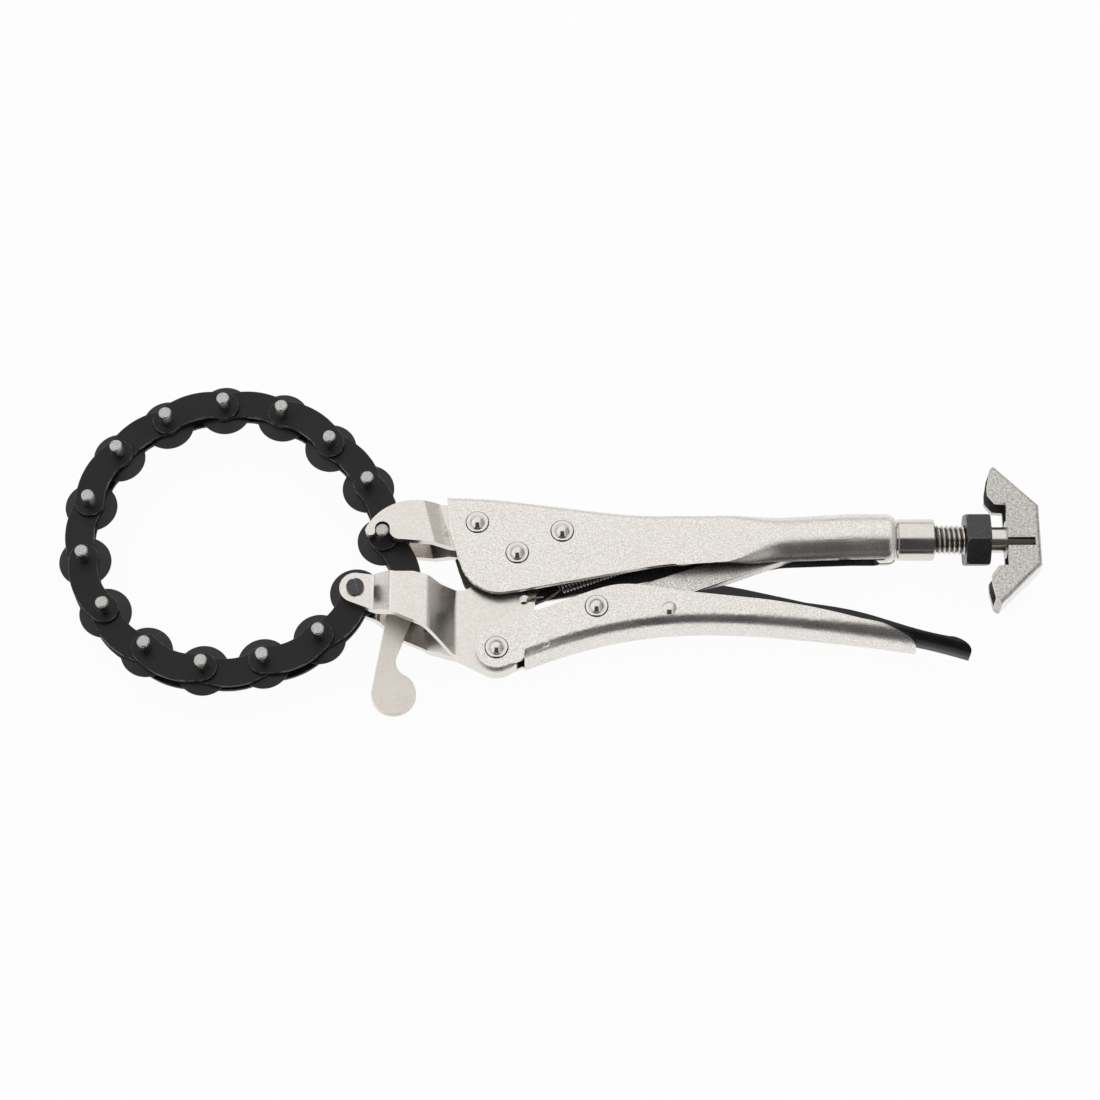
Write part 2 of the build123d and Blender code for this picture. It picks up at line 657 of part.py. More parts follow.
web_front = (channel - behind_joggle) & slab(make_face(Polyline(*web_points, close=True)), -side_outer, side_outer)
ear_sheet = joggle_place * bent_sheet(
    [(-40, ear_low), (-joggle_run, ear_low), (0, side_inner), (40, side_inner)], handle_sheet, 60
)
pivot_b_point = Vector(*pivot_b)
ear_bottom = tangent_points(pivot_b, ear_radius, (joggle_end_x + 6, -29.5), 0.001, -1)
ear_top = tangent_points(pivot_b, ear_radius, (joggle_end_x + 6, -16.5), 0.001, 1)
with BuildLine() as ear_edge:
    Polyline(ear_top[0], ear_top[1], ear_bottom[1], ear_bottom[0])
    ThreePointArc(ear_bottom[0], pivot_b_point + polar(ear_radius, 190), ear_top[0])
ear = (ear_sheet & slab(make_face(ear_edge.edges()), -1, 20)) - behind_joggle
lower_handle = grip_channel + web_front + ear + flip(ear)
lever_pivot = (lever_pivot_x, lever_pivot_y)
toggle_pivot = (toggle_pivot_x, toggle_pivot_y)
lower_handle -= bar(*pivot_b, rivet_shank_radius + press_fit, -20, 20)
lower_handle -= bar(*toggle_pivot, rivet_shank_radius + press_fit, -20, 20)
lower_handle -= bar(*lever_pivot, small_rivet_radius + press_fit, -20, 20)
parts["lower_handle"] = lower_handle
parts["handle_pivot_rivet"] = rivet(*pivot_b, ear_high, rivet_shank_radius)
parts["toggle_pivot_rivet"] = rivet(*toggle_pivot, side_outer, rivet_shank_radius)
small_ball = (rivet_dome_radius ** 2 + 1.0) / 2
small_cap = Pos(*lever_pivot, side_outer + 1.0 - small_ball) * Sphere(small_ball)
small_cap = small_cap & bar(*lever_pivot, rivet_dome_radius + 1, side_outer, side_outer + 5)
small_shank = bar(*lever_pivot, small_rivet_radius, -side_outer, side_outer)
parts["lever_rivet"] = small_shank + small_cap + flip(small_cap)

# Toggle link from the lower handle to the screw's tip
toggle_face = strap(toggle_pivot, toggle_front_radius, (toggle_end_x, toggle_end_y), toggle_rear_radius)
toggle_face -= disc(*toggle_pivot, rivet_shank_radius + running_fit)
parts["toggle_link"] = slab(toggle_face, -toggle_thickness / 2, toggle_thickness / 2)

# Release lever: a narrow channel that nests in the lower handle and sticks out behind it
lever_floor = [(44.0, -21.6), (58.0, -21.3), (80.0, -22.4), (124.0, -28.4), (lever_end_x - 0.4, -33.2)]
lever_tip = [lever_floor[-1], (lever_end_x, -32.4), (lever_end_x - 3.0, -28.4), (lever_end_x - 6.6, -27.4)]
lever_rim = [lever_tip[-1], (122.0, -23.9), (107.8, -19.3), (79.1, -14.6), (65.5, -12.0)]
lever_cam = [lever_rim[-1], (61.0, -11.6), (52.0, -15.8)]
with BuildLine() as lever_edge:
    Spline(*lever_floor)
    Spline(*lever_tip)
    Spline(*lever_rim)
    Polyline(*lever_cam)
    ThreePointArc(lever_cam[-1], (44.2, -18.0), lever_floor[0])
lever_outer = slab(make_face(lever_edge.edges()), -lever_half_width, lever_half_width)
lever_keel = lever_outer.edges().filter_by(
    lambda e: abs(abs(e.center().Z) - lever_half_width) < 0.01 and e.length > 90 and e.center().Y < -19.5
)
lever_outer = fillet(lever_keel, lever_radius)
lever_room = [(x, y + lever_sheet) for x, y in lever_floor]
lever_room[0] = (lever_room[0][0] - 4, lever_room[0][1])
lever_room[-1] = (lever_room[-1][0] + 4, lever_room[-1][1] - 1)
with BuildLine() as lever_room_edge:
    Spline(*lever_room)
    Polyline(lever_room[-1], (lever_room[-1][0], 0), (lever_room[0][0], 0), lever_room[0])
lever_room = slab(make_face(lever_room_edge.edges()), -lever_half_width + lever_sheet, lever_half_width - lever_sheet)
room_low = lever_room.edges().filter_by(
    lambda e: abs(abs(e.center().Z) - lever_half_width + lever_sheet) < 0.01 and e.length > 90 and e.center().Y < -20
)
lever_room = fillet(room_low, lever_radius - lever_sheet)
parts["release_lever"] = lever_outer - lever_room - bar(*lever_pivot, small_rivet_radius + running_fit, -20, 20)

# Tension spring and the pin that its far hook pulls on
parts["spring_anchor"] = bar(spring_anchor_x, spring_anchor_y, spring_anchor_radius, -side_inner, side_inner)
coil_start = Vector(*spring_start)
coil_end = Vector(*spring_end)
coil_step = coil_end - coil_start
coil_place = Plane(origin=coil_start, z_dir=coil_step.normalized()) * Pos(0, 0, coil_step.length / 2)
wire_radius = spring_wire / 2
coils = Cylinder(spring_coil_radius + wire_radius, coil_step.length)
coils -= Cylinder(spring_coil_radius - wire_radius, coil_step.length)
hook_x = spring_hole_x + spring_hole_radius - wire_radius - stack_clearance
hook_z = jaw_high + wire_radius + 0.4
hook_points = [
    (coil_start.X + 0.5, coil_start.Y + 0.2, -spring_coil_radius),
    (hook_x + 5.5, spring_hole_y + 2.4, -hook_z),
    (hook_x, spring_hole_y, -hook_z),
    (hook_x, spring_hole_y, hook_z),
    (hook_x + 5, spring_hole_y + 0.6, hook_z),
]
eye_centre = Vector(spring_anchor_x, spring_anchor_y)
eye_radius = spring_anchor_radius + wire_radius + 0.15
coil_run = coil_step.normalized()
eye_start = coil_end - coil_run * 0.6 + Vector(-coil_run.Y, coil_run.X) * spring_coil_radius
with BuildLine() as eye_wire:
    Line(eye_start, eye_centre + polar(eye_radius, 110))
    ThreePointArc(
        eye_centre + polar(eye_radius, 110), eye_centre + polar(eye_radius, -10), eye_centre + polar(eye_radius, -130)
    )


spring = coil_place * coils
for start, end in zip(hook_points, hook_points[1:]):
    leg = Vector(*end) - Vector(*start)
    spring += Plane(origin=start, z_dir=leg) * Pos(0, 0, leg.length / 2) * Cylinder(wire_radius, leg.length)
for corner in hook_points[1:-1]:
    spring += Pos(*corner) * Sphere(wire_radius)
eye_path = Wire(eye_wire.edges())
parts["tension_spring"] = spring + sweep(Plane(origin=eye_path @ 0, z_dir=eye_path % 0) * Circle(wire_radius), path=eye_path)

# Move to the resting place and write one file for each piece
to_row = Pos(-rest_x, -rest_y, bow_high)
os.makedirs("parts", exist_ok=True)
for name, shape in parts.items():
    export_step(to_row * shape, f"parts/{name}.step")
print("row offset", -rest_x, -rest_y, bow_high)
print("hook", hook, "tail", tail)
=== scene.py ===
import math

import bmesh
import bpy
from mathutils import Matrix, Vector
from mathutils.bvhtree import BVHTree


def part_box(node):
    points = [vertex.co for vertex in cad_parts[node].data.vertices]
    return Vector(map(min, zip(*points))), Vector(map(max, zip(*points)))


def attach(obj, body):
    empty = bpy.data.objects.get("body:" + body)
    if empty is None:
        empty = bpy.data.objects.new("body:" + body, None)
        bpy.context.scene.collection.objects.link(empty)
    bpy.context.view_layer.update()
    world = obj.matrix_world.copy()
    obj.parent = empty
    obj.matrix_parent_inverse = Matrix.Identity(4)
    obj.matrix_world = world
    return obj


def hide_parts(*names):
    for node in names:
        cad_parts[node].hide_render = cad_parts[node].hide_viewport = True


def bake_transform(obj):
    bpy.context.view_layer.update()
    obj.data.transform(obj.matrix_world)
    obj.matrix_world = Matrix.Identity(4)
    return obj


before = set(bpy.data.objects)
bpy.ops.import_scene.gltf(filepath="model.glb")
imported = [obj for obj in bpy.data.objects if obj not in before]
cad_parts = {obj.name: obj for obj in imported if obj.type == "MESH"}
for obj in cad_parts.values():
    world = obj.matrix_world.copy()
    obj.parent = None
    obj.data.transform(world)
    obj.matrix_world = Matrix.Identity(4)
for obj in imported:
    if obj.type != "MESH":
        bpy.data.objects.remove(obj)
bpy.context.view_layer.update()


# Upper handle.
# The real one is 1.8 mm sheet, folded to a channel at the jaws and rolled to a slotted tube at the rear.
# It is tumbled and then nickel plated, which leaves a fine satin grain and slightly rounded edges.
MM = 0.001
SHEET = 1.8
SHEET_BREAK = 0.22 * MM
# In millimetres from the jaw pivot: the place, top, bottom, half the width, and the corner's radius.
TAPER_STATIONS = (
    (48.0, 13.6, -8.0, 7.25, 3.0),
    (62.0, 13.6, -3.2, 7.25, 5.6),
    (76.0, 14.0, -2.0, 7.7, 7.7),
    (106.0, 15.65, -0.85, 8.25, 8.25),
)
RIDGE_FOLD = 2.6
RIM_FOLD = 0.3
FOLD_HOLDS_TO = 63.0
FOLD_OPEN_AT = 86.0
LEAST_FOLD = 0.05
ROW_SPACING = 3.0
RIM_LINE = ((47.0, -4.0), (62.0, -3.3))
RIM_SQUEEZE = 0.1
RIM_SAG = 1.2
RIM_SAG_MIDDLE = 71.0
RIM_SAG_REACH = 13.0
TUBE_RADIUS = 8.25 * MM
SHOULDER_LENGTH = 3.4 * MM
SHOULDER_DROP = 2.6 * MM
SHOULDER_ROWS = (0.0, 0.25, 0.45, 0.62, 0.76, 0.87, 0.95)
SHOULDER_SHEET = 0.5 * MM
HALF_SHEET = 0.9 * MM
INSIDE_REACH = 22 * MM
INSIDE_RAYS = ((0.0, 1), (0.6, 6), (1.15, 8))
RAYS_THAT_MEET = 6
RAY_START = 0.02 * MM
SAME_POINT = 2e-6
FLAT_WITHIN = math.radians(0.6)
SHARP_FROM = math.radians(32)
HANDLE_NICKEL = (0.97, 0.935, 0.895)
HANDLE_SHADE = (0.66, 0.63, 0.60)
# Painted shade for the inside faces of the folded sheets, which lie in shadow.
INSIDE_PAINTED_SHADE = (0.17, 0.165, 0.155)
INSIDE_PAINTED_SHADE_DEEP = (0.10, 0.097, 0.09)
PLATED_EDGE_AND_WEB_HIGHLIGHT = (0.86, 0.84, 0.80)


def centre_of(node):
    """The middle of a CAD node's box."""
    low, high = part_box(node)
    return (low + high) / 2


def add(tree, kind, **values):
    """Add a shader node, setting its sockets and its plain settings by name."""
    node = tree.nodes.new(kind)
    for name, value in values.items():
        label = name.replace("_", " ")
        socket = next((s for s in node.inputs if s.name.lower() == label.lower()), None)
        if socket is None:
            setattr(node, name, value)
        else:
            socket.default_value = value
    return node


def grain_group():
    """Tumbled sheet: a fine speckle in colour and height over slow clouds in the polish."""
    tree = bpy.data.node_groups.new("tumbled_grain", "ShaderNodeTree")
    for name, kind in (
        ("Bright", "NodeSocketColor"),
        ("Deep", "NodeSocketColor"),
        ("Grains per metre", "NodeSocketFloat"),
        ("Smoothest", "NodeSocketFloat"),
        ("Roughest", "NodeSocketFloat"),
    ):
        tree.interface.new_socket(name, in_out="INPUT", socket_type=kind)
    for name, kind in (
        ("Colour", "NodeSocketColor"),
        ("Roughness", "NodeSocketFloat"),
        ("Height", "NodeSocketFloat"),
    ):
        tree.interface.new_socket(name, in_out="OUTPUT", socket_type=kind)
    given = tree.nodes.new("NodeGroupInput")
    out = tree.nodes.new("NodeGroupOutput")
    place = tree.nodes.new("ShaderNodeTexCoord")
    speck = add(tree, "ShaderNodeTexNoise", Detail=3.0, Roughness=0.62)
    cloud = add(tree, "ShaderNodeTexNoise", Scale=70.0, Detail=4.0, Roughness=0.55)
    crisp = add(tree, "ShaderNodeMapRange", From_Min=0.36, From_Max=0.64)
    blend = add(tree, "ShaderNodeMix", data_type="RGBA")
    polish = add(tree, "ShaderNodeMapRange", From_Min=0.35, From_Max=0.65)
    tree.links.new(place.outputs["Object"], speck.inputs["Vector"])
    tree.links.new(place.outputs["Object"], cloud.inputs["Vector"])
    tree.links.new(given.outputs["Grains per metre"], speck.inputs["Scale"])
    tree.links.new(speck.outputs["Fac"], crisp.inputs["Value"])
    tree.links.new(crisp.outputs["Result"], blend.inputs["Factor"])
    tree.links.new(given.outputs["Deep"], blend.inputs[6])
    tree.links.new(given.outputs["Bright"], blend.inputs[7])
    tree.links.new(cloud.outputs["Fac"], polish.inputs["Value"])
    tree.links.new(given.outputs["Smoothest"], polish.inputs["To Min"])
    tree.links.new(given.outputs["Roughest"], polish.inputs["To Max"])
    tree.links.new(blend.outputs[2], out.inputs["Colour"])
    tree.links.new(polish.outputs["Result"], out.inputs["Roughness"])
    tree.links.new(speck.outputs["Fac"], out.inputs["Height"])
    return tree


tumbled_grain = grain_group()


def grained(name, bright, deep, grains, smooth, rough, lift, metallic=1.0, lustre=0.5):
    """A finish whose colour, roughness and relief come from the tumbled grain."""
    material = bpy.data.materials.new(name)
    material.use_nodes = True
    tree = material.node_tree
    shader = tree.nodes["Principled BSDF"]
    shader.inputs["Metallic"].default_value = metallic
    shader.inputs["Specular IOR Level"].default_value = lustre
    grain = tree.nodes.new("ShaderNodeGroup")
    grain.node_tree = tumbled_grain
    grain.inputs["Bright"].default_value = (*bright, 1.0)
    grain.inputs["Deep"].default_value = (*deep, 1.0)
    grain.inputs["Grains per metre"].default_value = grains
    grain.inputs["Smoothest"].default_value = smooth
    grain.inputs["Roughest"].default_value = rough
    relief = add(tree, "ShaderNodeBump", Strength=1.0, Distance=lift)
    tree.links.new(grain.outputs["Colour"], shader.inputs["Base Color"])
    tree.links.new(grain.outputs["Roughness"], shader.inputs["Roughness"])
    tree.links.new(grain.outputs["Height"], relief.inputs["Height"])
    tree.links.new(relief.outputs["Normal"], shader.inputs["Normal"])
    return material


def even_shading(piece, sharp_angle=38.0):
    """Smooth the faces, keep the true corners, and let the large faces stay flat."""
    for face in piece.data.polygons:
        face.use_smooth = True
    piece.data.set_sharp_from_angle(angle=math.radians(sharp_angle))
    weighted = piece.modifiers.new("flat_faces", "WEIGHTED_NORMAL")
    weighted.keep_sharp = True
    weighted.weight = 80


def paint_shade_on_insides(work, reach):
    """Paint the inside of a folded sheet darker, as painted shade: there, rays leaving a face meet the sheet
    again.
    """
    around = BVHTree.FromBMesh(work)
    for face in work.faces:
        normal = face.normal
        side = normal.orthogonal().normalized()
        centre = face.calc_center_median() + normal * RAY_START
        met = 0
        for tilt, count in INSIDE_RAYS:
            for step in range(count):
                spin = Matrix.Rotation(2 * math.pi * step / count, 3, normal)
                way = normal * math.cos(tilt) + (spin @ side) * math.sin(tilt)
                if around.ray_cast(centre, way, reach)[0] is not None:
                    met += 1
        if met >= RAYS_THAT_MEET:
            # These enclosed faces take the painted shade.
            face.material_index = 2


def soften_bends(work, outer, inner):
    """Round the bends across a bent plate: wide on the outside of each bend, tight on the inside."""
    least_turn, most_turn, least_length = 8, 75, 4 * MM
    for width, outward in ((outer, True), (inner, False)):
        bends = []
        for edge in work.edges:
            if len(edge.link_faces) != 2 or edge.is_convex != outward:
                continue
            turn = math.degrees(edge.calc_face_angle())
            level = max(abs(face.normal.y) for face in edge.link_faces)
            steep = min(abs(face.normal.z) for face in edge.link_faces)
            across = level < 0.2 and steep > 0.2
            if least_turn < turn < most_turn and across and edge.calc_length() > least_length:
                bends.append(edge)
        bmesh.ops.bevel(
            work, geom=bends, offset=width, segments=5, profile=0.5, affect="EDGES", clamp_overlap=True
        )


def broken_edges(node, body, width, finish, edge_wear_and_highlight, inside=None, bends=None, reshape=None):
    """The node's own shape with every sharp edge broken by tumbling, the broken edges in a finish of their
    own, which on the black parts is lighter as painted highlight; given inside faces take a painted shade.
    """
    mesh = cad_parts[node].data.copy()
    mesh.name = node + "_sheet"
    mesh.materials.clear()
    mesh.materials.append(finish)
    mesh.materials.append(edge_wear_and_highlight)
    work = bmesh.new()
    work.from_mesh(mesh)
    for face in work.faces:
        face.material_index = 0
    bmesh.ops.remove_doubles(work, verts=work.verts, dist=SAME_POINT)
    bmesh.ops.dissolve_limit(work, angle_limit=FLAT_WITHIN, verts=work.verts, edges=work.edges)
    if inside:
        mesh.materials.append(inside)
        paint_shade_on_insides(work, INSIDE_REACH)
    if reshape:
        reshape(work)
    if bends:
        soften_bends(work, *bends)
    corners = []
    for edge in work.edges:
        if len(edge.link_faces) == 2 and edge.calc_face_angle() > SHARP_FROM:
            corners.append(edge)
    # The bevel faces take the edge finish: polish on the nickel parts, rubbed wear with a painted highlight
    # on the black parts.
    bmesh.ops.bevel(
        work,
        geom=corners,
        offset=width,
        segments=2,
        profile=0.5,
        affect="EDGES",
        clamp_overlap=True,
        material=1,
    )
    work.to_mesh(mesh)
    work.free()
    piece = bpy.data.objects.new(node + "_finished", mesh)
    bpy.context.scene.collection.objects.link(piece)
    even_shading(piece)
    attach(piece, body)
    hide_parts(node)
    return piece


def cut_rows(work, places):
    """Cut the mesh across the handle, so that it has points to follow a finer shape."""
    for x in places:
        bmesh.ops.bisect_plane(
            work, geom=work.verts[:] + work.edges[:] + work.faces[:], plane_co=(x, 0, 0), plane_no=(1, 0, 0)
        )


def between(stations, x):
    """Values of a row of stations at a place along the handle."""
    for before, after in zip(stations, stations[1:]):
        if x <= after[0]:
            share = (x - before[0]) / (after[0] - before[0])
            return [a + (b - a) * share for a, b in zip(before[1:], after[1:])]
    return list(stations[-1][1:])


def tighten_corners(work):
    """Keep the tight fold of the flat sides until shortly before the tube, where it opens out quickly."""
    pivot = centre_of("jaw_pivot_rivet")
    start = TAPER_STATIONS[0][0]
    end = TAPER_STATIONS[-1][0]
    rows = int((end - start) / ROW_SPACING)
    cut_rows(work, [pivot.x + (start + (end - start) * (row + 0.5) / rows) * MM for row in range(rows)])
    for vert in work.verts:
        x = (vert.co.x - pivot.x) / MM
        if not start < x < end:
            continue
        top, bottom, half, corner = between(TAPER_STATIONS, x)
        share = min(1.0, max(0.0, (x - FOLD_HOLDS_TO) / (FOLD_OPEN_AT - FOLD_HOLDS_TO)))
        share = share * share * (3 - 2 * share)
        up = (vert.co.y - pivot.y) / MM - (top + bottom) / 2
        least = RIDGE_FOLD if up > 0 else RIM_FOLD
        tight = min(corner, least + (corner - least) * share)
        out = (vert.co.z - pivot.z) / MM
        tall = (top - bottom) / 2
        if abs(up) <= tall - corner or abs(out) <= half - corner:
            continue
        away = Vector((abs(up) - tall + corner, abs(out) - half + corner))
        depth = SHEET if away.length < corner - SHEET / 2 else 0.0
        fold = max(LEAST_FOLD, tight - depth)
        away = away.normalized() * max(0.0, away.length - (corner - depth) + fold)
        vert.co.y = pivot.y + ((top + bottom) / 2 + math.copysign(tall - depth - fold + away.x, up)) * MM
        vert.co.z = pivot.z + math.copysign(half - depth - fold + away.y, out) * MM


def level_rim(work):
    """Run the lower rim on nearly straight where the channel turns into the tube, without a step."""
    pivot = centre_of("jaw_pivot_rivet")
    for vert in work.verts:
        x = (vert.co.x - pivot.x) / MM
        y = (vert.co.y - pivot.y) / MM
        top, bottom = between(TAPER_STATIONS, max(x, TAPER_STATIONS[0][0]))[:2]
        if RIM_LINE[0][0] < x < RIM_LINE[1][0]:
            line = between(RIM_LINE, x)[0]
            y = line + (y - line) * RIM_SQUEEZE if y < line else y
            bottom = line
        offset = (x - RIM_SAG_MIDDLE) / RIM_SAG_REACH
        if abs(offset) < 1:
            middle = (top + bottom) / 2
            weight = min(1.0, max(0.0, (middle - y) / (middle - bottom)))
            y -= RIM_SAG * weight * math.cos(offset * math.pi / 2) ** 2
        vert.co.y = pivot.y + y * MM


def swage_tube(work):
    """Draw the tube's rear end in to a rounded shoulder that closes on the bush."""
    end = max(vert.co.x for vert in work.verts)
    axis = centre_of("screw_bush")
    start = end - SHOULDER_LENGTH
    cut_rows(work, [start + SHOULDER_LENGTH * share for share in SHOULDER_ROWS])
    for vert in work.verts:
        share = (vert.co.x - start) / SHOULDER_LENGTH
        if share <= 0:
            continue
        limit = TUBE_RADIUS - SHOULDER_DROP * (1 - math.sqrt(max(0.0, 1 - share * share)))
        out = Vector((0, vert.co.y - axis.y, vert.co.z - axis.z))
        inner = out.length < TUBE_RADIUS - HALF_SHEET
        target = min(out.length, limit - SHOULDER_SHEET if inner else limit)
        vert.co.y = axis.y + out.y * target / out.length
        vert.co.z = axis.z + out.z * target / out.length


def shape_rear(work):
    """The forms that the press gives the rear half: the late fold, the rim and the tube's shoulder."""
    tighten_corners(work)
    level_rim(work)
    swage_tube(work)


handle_nickel = grained("handle_satin_nickel", HANDLE_NICKEL, HANDLE_SHADE, 1900.0, 0.27, 0.36, 0.032 * MM)
# Painted shade: the dark finish given to the inside faces of the folded sheets.
inside_painted_shade = grained("painted_shade_inside", INSIDE_PAINTED_SHADE, INSIDE_PAINTED_SHADE_DEEP, 1200.0, 0.45, 0.6, 0.010 * MM)
bright_edge = grained("rubbed_nickel_edge", PLATED_EDGE_AND_WEB_HIGHLIGHT, HANDLE_NICKEL, 900.0, 0.16, 0.26, 0.002 * MM)
broken_edges(
    "upper_handle",
    "upper_handle_assembly",
    SHEET_BREAK,
    handle_nickel,
    bright_edge,
    inside=inside_painted_shade,
    reshape=shape_rear,
)


# Upper jaw plates.
# Two plates blanked from 2.5 mm strip, each with a hooked end that drops over a chain pin.
# They step inward between the handle's sides; the same nickel, but smoother on the drawn faces.
JAW_NICKEL = (0.84, 0.80, 0.755)
JAW_SHADE = (0.74, 0.705, 0.665)
JAW_BREAK = 0.28 * MM
JAW_BENDS = (2.2 * MM, 0.7 * MM)

jaw_nickel = grained("jaw_smooth_nickel", JAW_NICKEL, JAW_SHADE, 1400.0, 0.20, 0.30, 0.004 * MM)
for side in ("near", "far"):
    broken_edges(
        f"upper_jaw_{side}_plate",
        "upper_handle_assembly",
        JAW_BREAK,
        jaw_nickel,
        bright_edge,
        bends=JAW_BENDS,
    )


# Rivets of the jaw and of the lower handle.
# Turned pins with a thin collar and a domed head on both sides, pressed home and nickel plated bright.
# A groove separates the collar from the dome, and a thin ring round the foot of each collar is painted black
# as the shadow under it.
RIVET_NICKEL = (0.84, 0.81, 0.77)
RIVET_SHADE = (0.76, 0.73, 0.69)
COLLAR_RADIUS = 3.5 * MM
COLLAR_HEIGHT = 0.5 * MM
DOME_RADIUS = 2.42 * MM
DOME_HEIGHT = 1.5 * MM
SHADOW_RING_WIDTH = 0.26 * MM
SHADOW_RING_HEIGHT = 0.05 * MM
COLLAR_SHADOW_BLACK = (0.03, 0.028, 0.026)
RIVET_SHANK = 2.5 * MM


def turned(name, outline, centre, axis, finish, steps=48):
    """A lathe-turned piece: (distance along the axis, radius) points spun round the axis."""
    on_axis = 1e-7
    mesh = bpy.data.meshes.new(name)
    work = bmesh.new()
    rings = []
    for along, radius in outline:
        ring = []
        if radius < on_axis:
            ring.append(work.verts.new((0.0, 0.0, along)))
        else:
            for step in range(steps):
                angle = 2 * math.pi * step / steps
                ring.append(work.verts.new((radius * math.cos(angle), radius * math.sin(angle), along)))
        rings.append(ring)
    for lower, upper in zip(rings, rings[1:]):
        for step in range(steps):
            after = (step + 1) % steps
            if len(lower) == 1 and len(upper) > 1:
                work.faces.new((lower[0], upper[after], upper[step]))
            elif len(upper) == 1 and len(lower) > 1:
                work.faces.new((lower[step], lower[after], upper[0]))
            elif len(lower) > 1:
                work.faces.new((lower[step], lower[after], upper[after], upper[step]))
    bmesh.ops.recalc_face_normals(work, faces=work.faces)
    work.to_mesh(mesh)
    work.free()
    mesh.transform(Vector((0, 0, 1)).rotation_difference(Vector(axis)).to_matrix().to_4x4())
    mesh.transform(Matrix.Translation(centre))
    mesh.materials.append(finish)
    piece = bpy.data.objects.new(name, mesh)
    bpy.context.scene.collection.objects.link(piece)
    return piece


def joined(name, pieces):
    """Put several meshes of one real piece, or of one group of like pieces, into one object."""
    mesh = bpy.data.meshes.new(name)
    work = bmesh.new()
    for piece in pieces:
        work.from_mesh(piece.data)
    work.to_mesh(mesh)
    work.free()
    for material in pieces[0].data.materials:
        mesh.materials.append(material)
    whole = bpy.data.objects.new(name, mesh)
    bpy.context.scene.collection.objects.link(whole)
    for piece in pieces:
        bpy.data.objects.remove(piece)
    return whole


def rivet_head(half_length):
    """Half of a rivet's outline, from the middle of its shank to the top of one dome."""
    face = half_length - COLLAR_HEIGHT - DOME_HEIGHT
    button = face + COLLAR_HEIGHT
    return [
        (face, RIVET_SHANK),
        (face, COLLAR_RADIUS + SHADOW_RING_WIDTH),
        (face + SHADOW_RING_HEIGHT, COLLAR_RADIUS + SHADOW_RING_WIDTH - 0.03 * MM),
        (face + SHADOW_RING_HEIGHT, COLLAR_RADIUS - 0.16 * MM),
        (face + 0.10 * MM, COLLAR_RADIUS - 0.16 * MM),
        (face + 0.16 * MM, COLLAR_RADIUS),
        (face + 0.34 * MM, COLLAR_RADIUS),
        (button, COLLAR_RADIUS - 0.16 * MM),
        (button, COLLAR_RADIUS - 0.45 * MM),
        (button - 0.20 * MM, DOME_RADIUS + 0.22 * MM),
        (button - 0.22 * MM, DOME_RADIUS + 0.04 * MM),
        (button + 0.10 * MM, DOME_RADIUS),
        (button + 0.36 * MM, DOME_RADIUS - 0.20 * MM),
        (button + 0.66 * MM, DOME_RADIUS - 0.50 * MM),
        (button + 0.94 * MM, DOME_RADIUS - 0.82 * MM),
        (button + 1.16 * MM, DOME_RADIUS - 1.12 * MM),
        (button + 1.34 * MM, DOME_RADIUS - 1.46 * MM),
        (button + 1.46 * MM, DOME_RADIUS - 1.88 * MM),
        (button + DOME_HEIGHT, 0.0),
    ]


def rivet(name, x, y, half_length):
    """A whole rivet across the tool at x and y, with a painted shadow ring round the foot of both collars."""
    head = rivet_head(half_length)
    outline = [(-along, radius) for along, radius in reversed(head)] + head
    piece = turned(name, outline, (x, y, mid_plane), (0, 0, 1), rivet_nickel)
    piece.data.materials.append(painted_collar_shadow)
    points = piece.data.vertices
    for face in piece.data.polygons:
        reach = max((points[index].co.xy - Vector((x, y))).length for index in face.vertices)
        # Faces beyond the collar's radius form the ring of painted shadow.
        if reach > COLLAR_RADIUS + 0.01 * MM:
            face.material_index = 1
    return piece


rivet_nickel = grained("rivet_bright_nickel", RIVET_NICKEL, RIVET_SHADE, 1500.0, 0.10, 0.17, 0.0015 * MM)
painted_collar_shadow = grained("collar_painted_shadow_ring", COLLAR_SHADOW_BLACK, COLLAR_SHADOW_BLACK, 900.0, 0.6, 0.8, 0.002 * MM, metallic=0.0)
mid_plane = centre_of("jaw_pivot_rivet").z
for node, body in (
    ("jaw_pivot_rivet", "upper_handle_assembly"),
    ("handle_pivot_rivet", "lower_handle_assembly"),
    ("toggle_pivot_rivet", "lower_handle_assembly"),
):
    low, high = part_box(node)
    piece = rivet(node + "_turned", (low.x + high.x) / 2, (low.y + high.y) / 2, (high.z - low.z) / 2)
    even_shading(piece)
    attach(piece, body)
    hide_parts(node)
low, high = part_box("upper_jaw_rivets")
front_rivet = rivet("jaw_rivet", low.x + COLLAR_RADIUS, high.y - COLLAR_RADIUS, (high.z - low.z) / 2)
rear_rivet = rivet("jaw_rivet", high.x - COLLAR_RADIUS, low.y + COLLAR_RADIUS, (high.z - low.z) / 2)
jaw_rivets = joined("upper_jaw_rivets_turned", [front_rivet, rear_rivet])
even_shading(jaw_rivets)
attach(jaw_rivets, "upper_handle_assembly")
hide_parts("upper_jaw_rivets")


# Screw bush.
# A turned nut that is pressed into the tube's end and threaded for the adjusting screw.
# Its turned face keeps faint rings round the axis under the plating; the model gives it only the plated
# grain.
SCREW_NICKEL = (0.80, 0.765, 0.715)
SCREW_SHADE = (0.70, 0.67, 0.63)
BUSH_RADIUS = 6.65 * MM
BUSH_PROJECTION = 12.0 * MM
BUSH_BREAK = 0.45 * MM
BUSH_NECK = 5.0 * MM
BUSH_BODY = 6.2 * MM
BUSH_BORE = 4.85 * MM

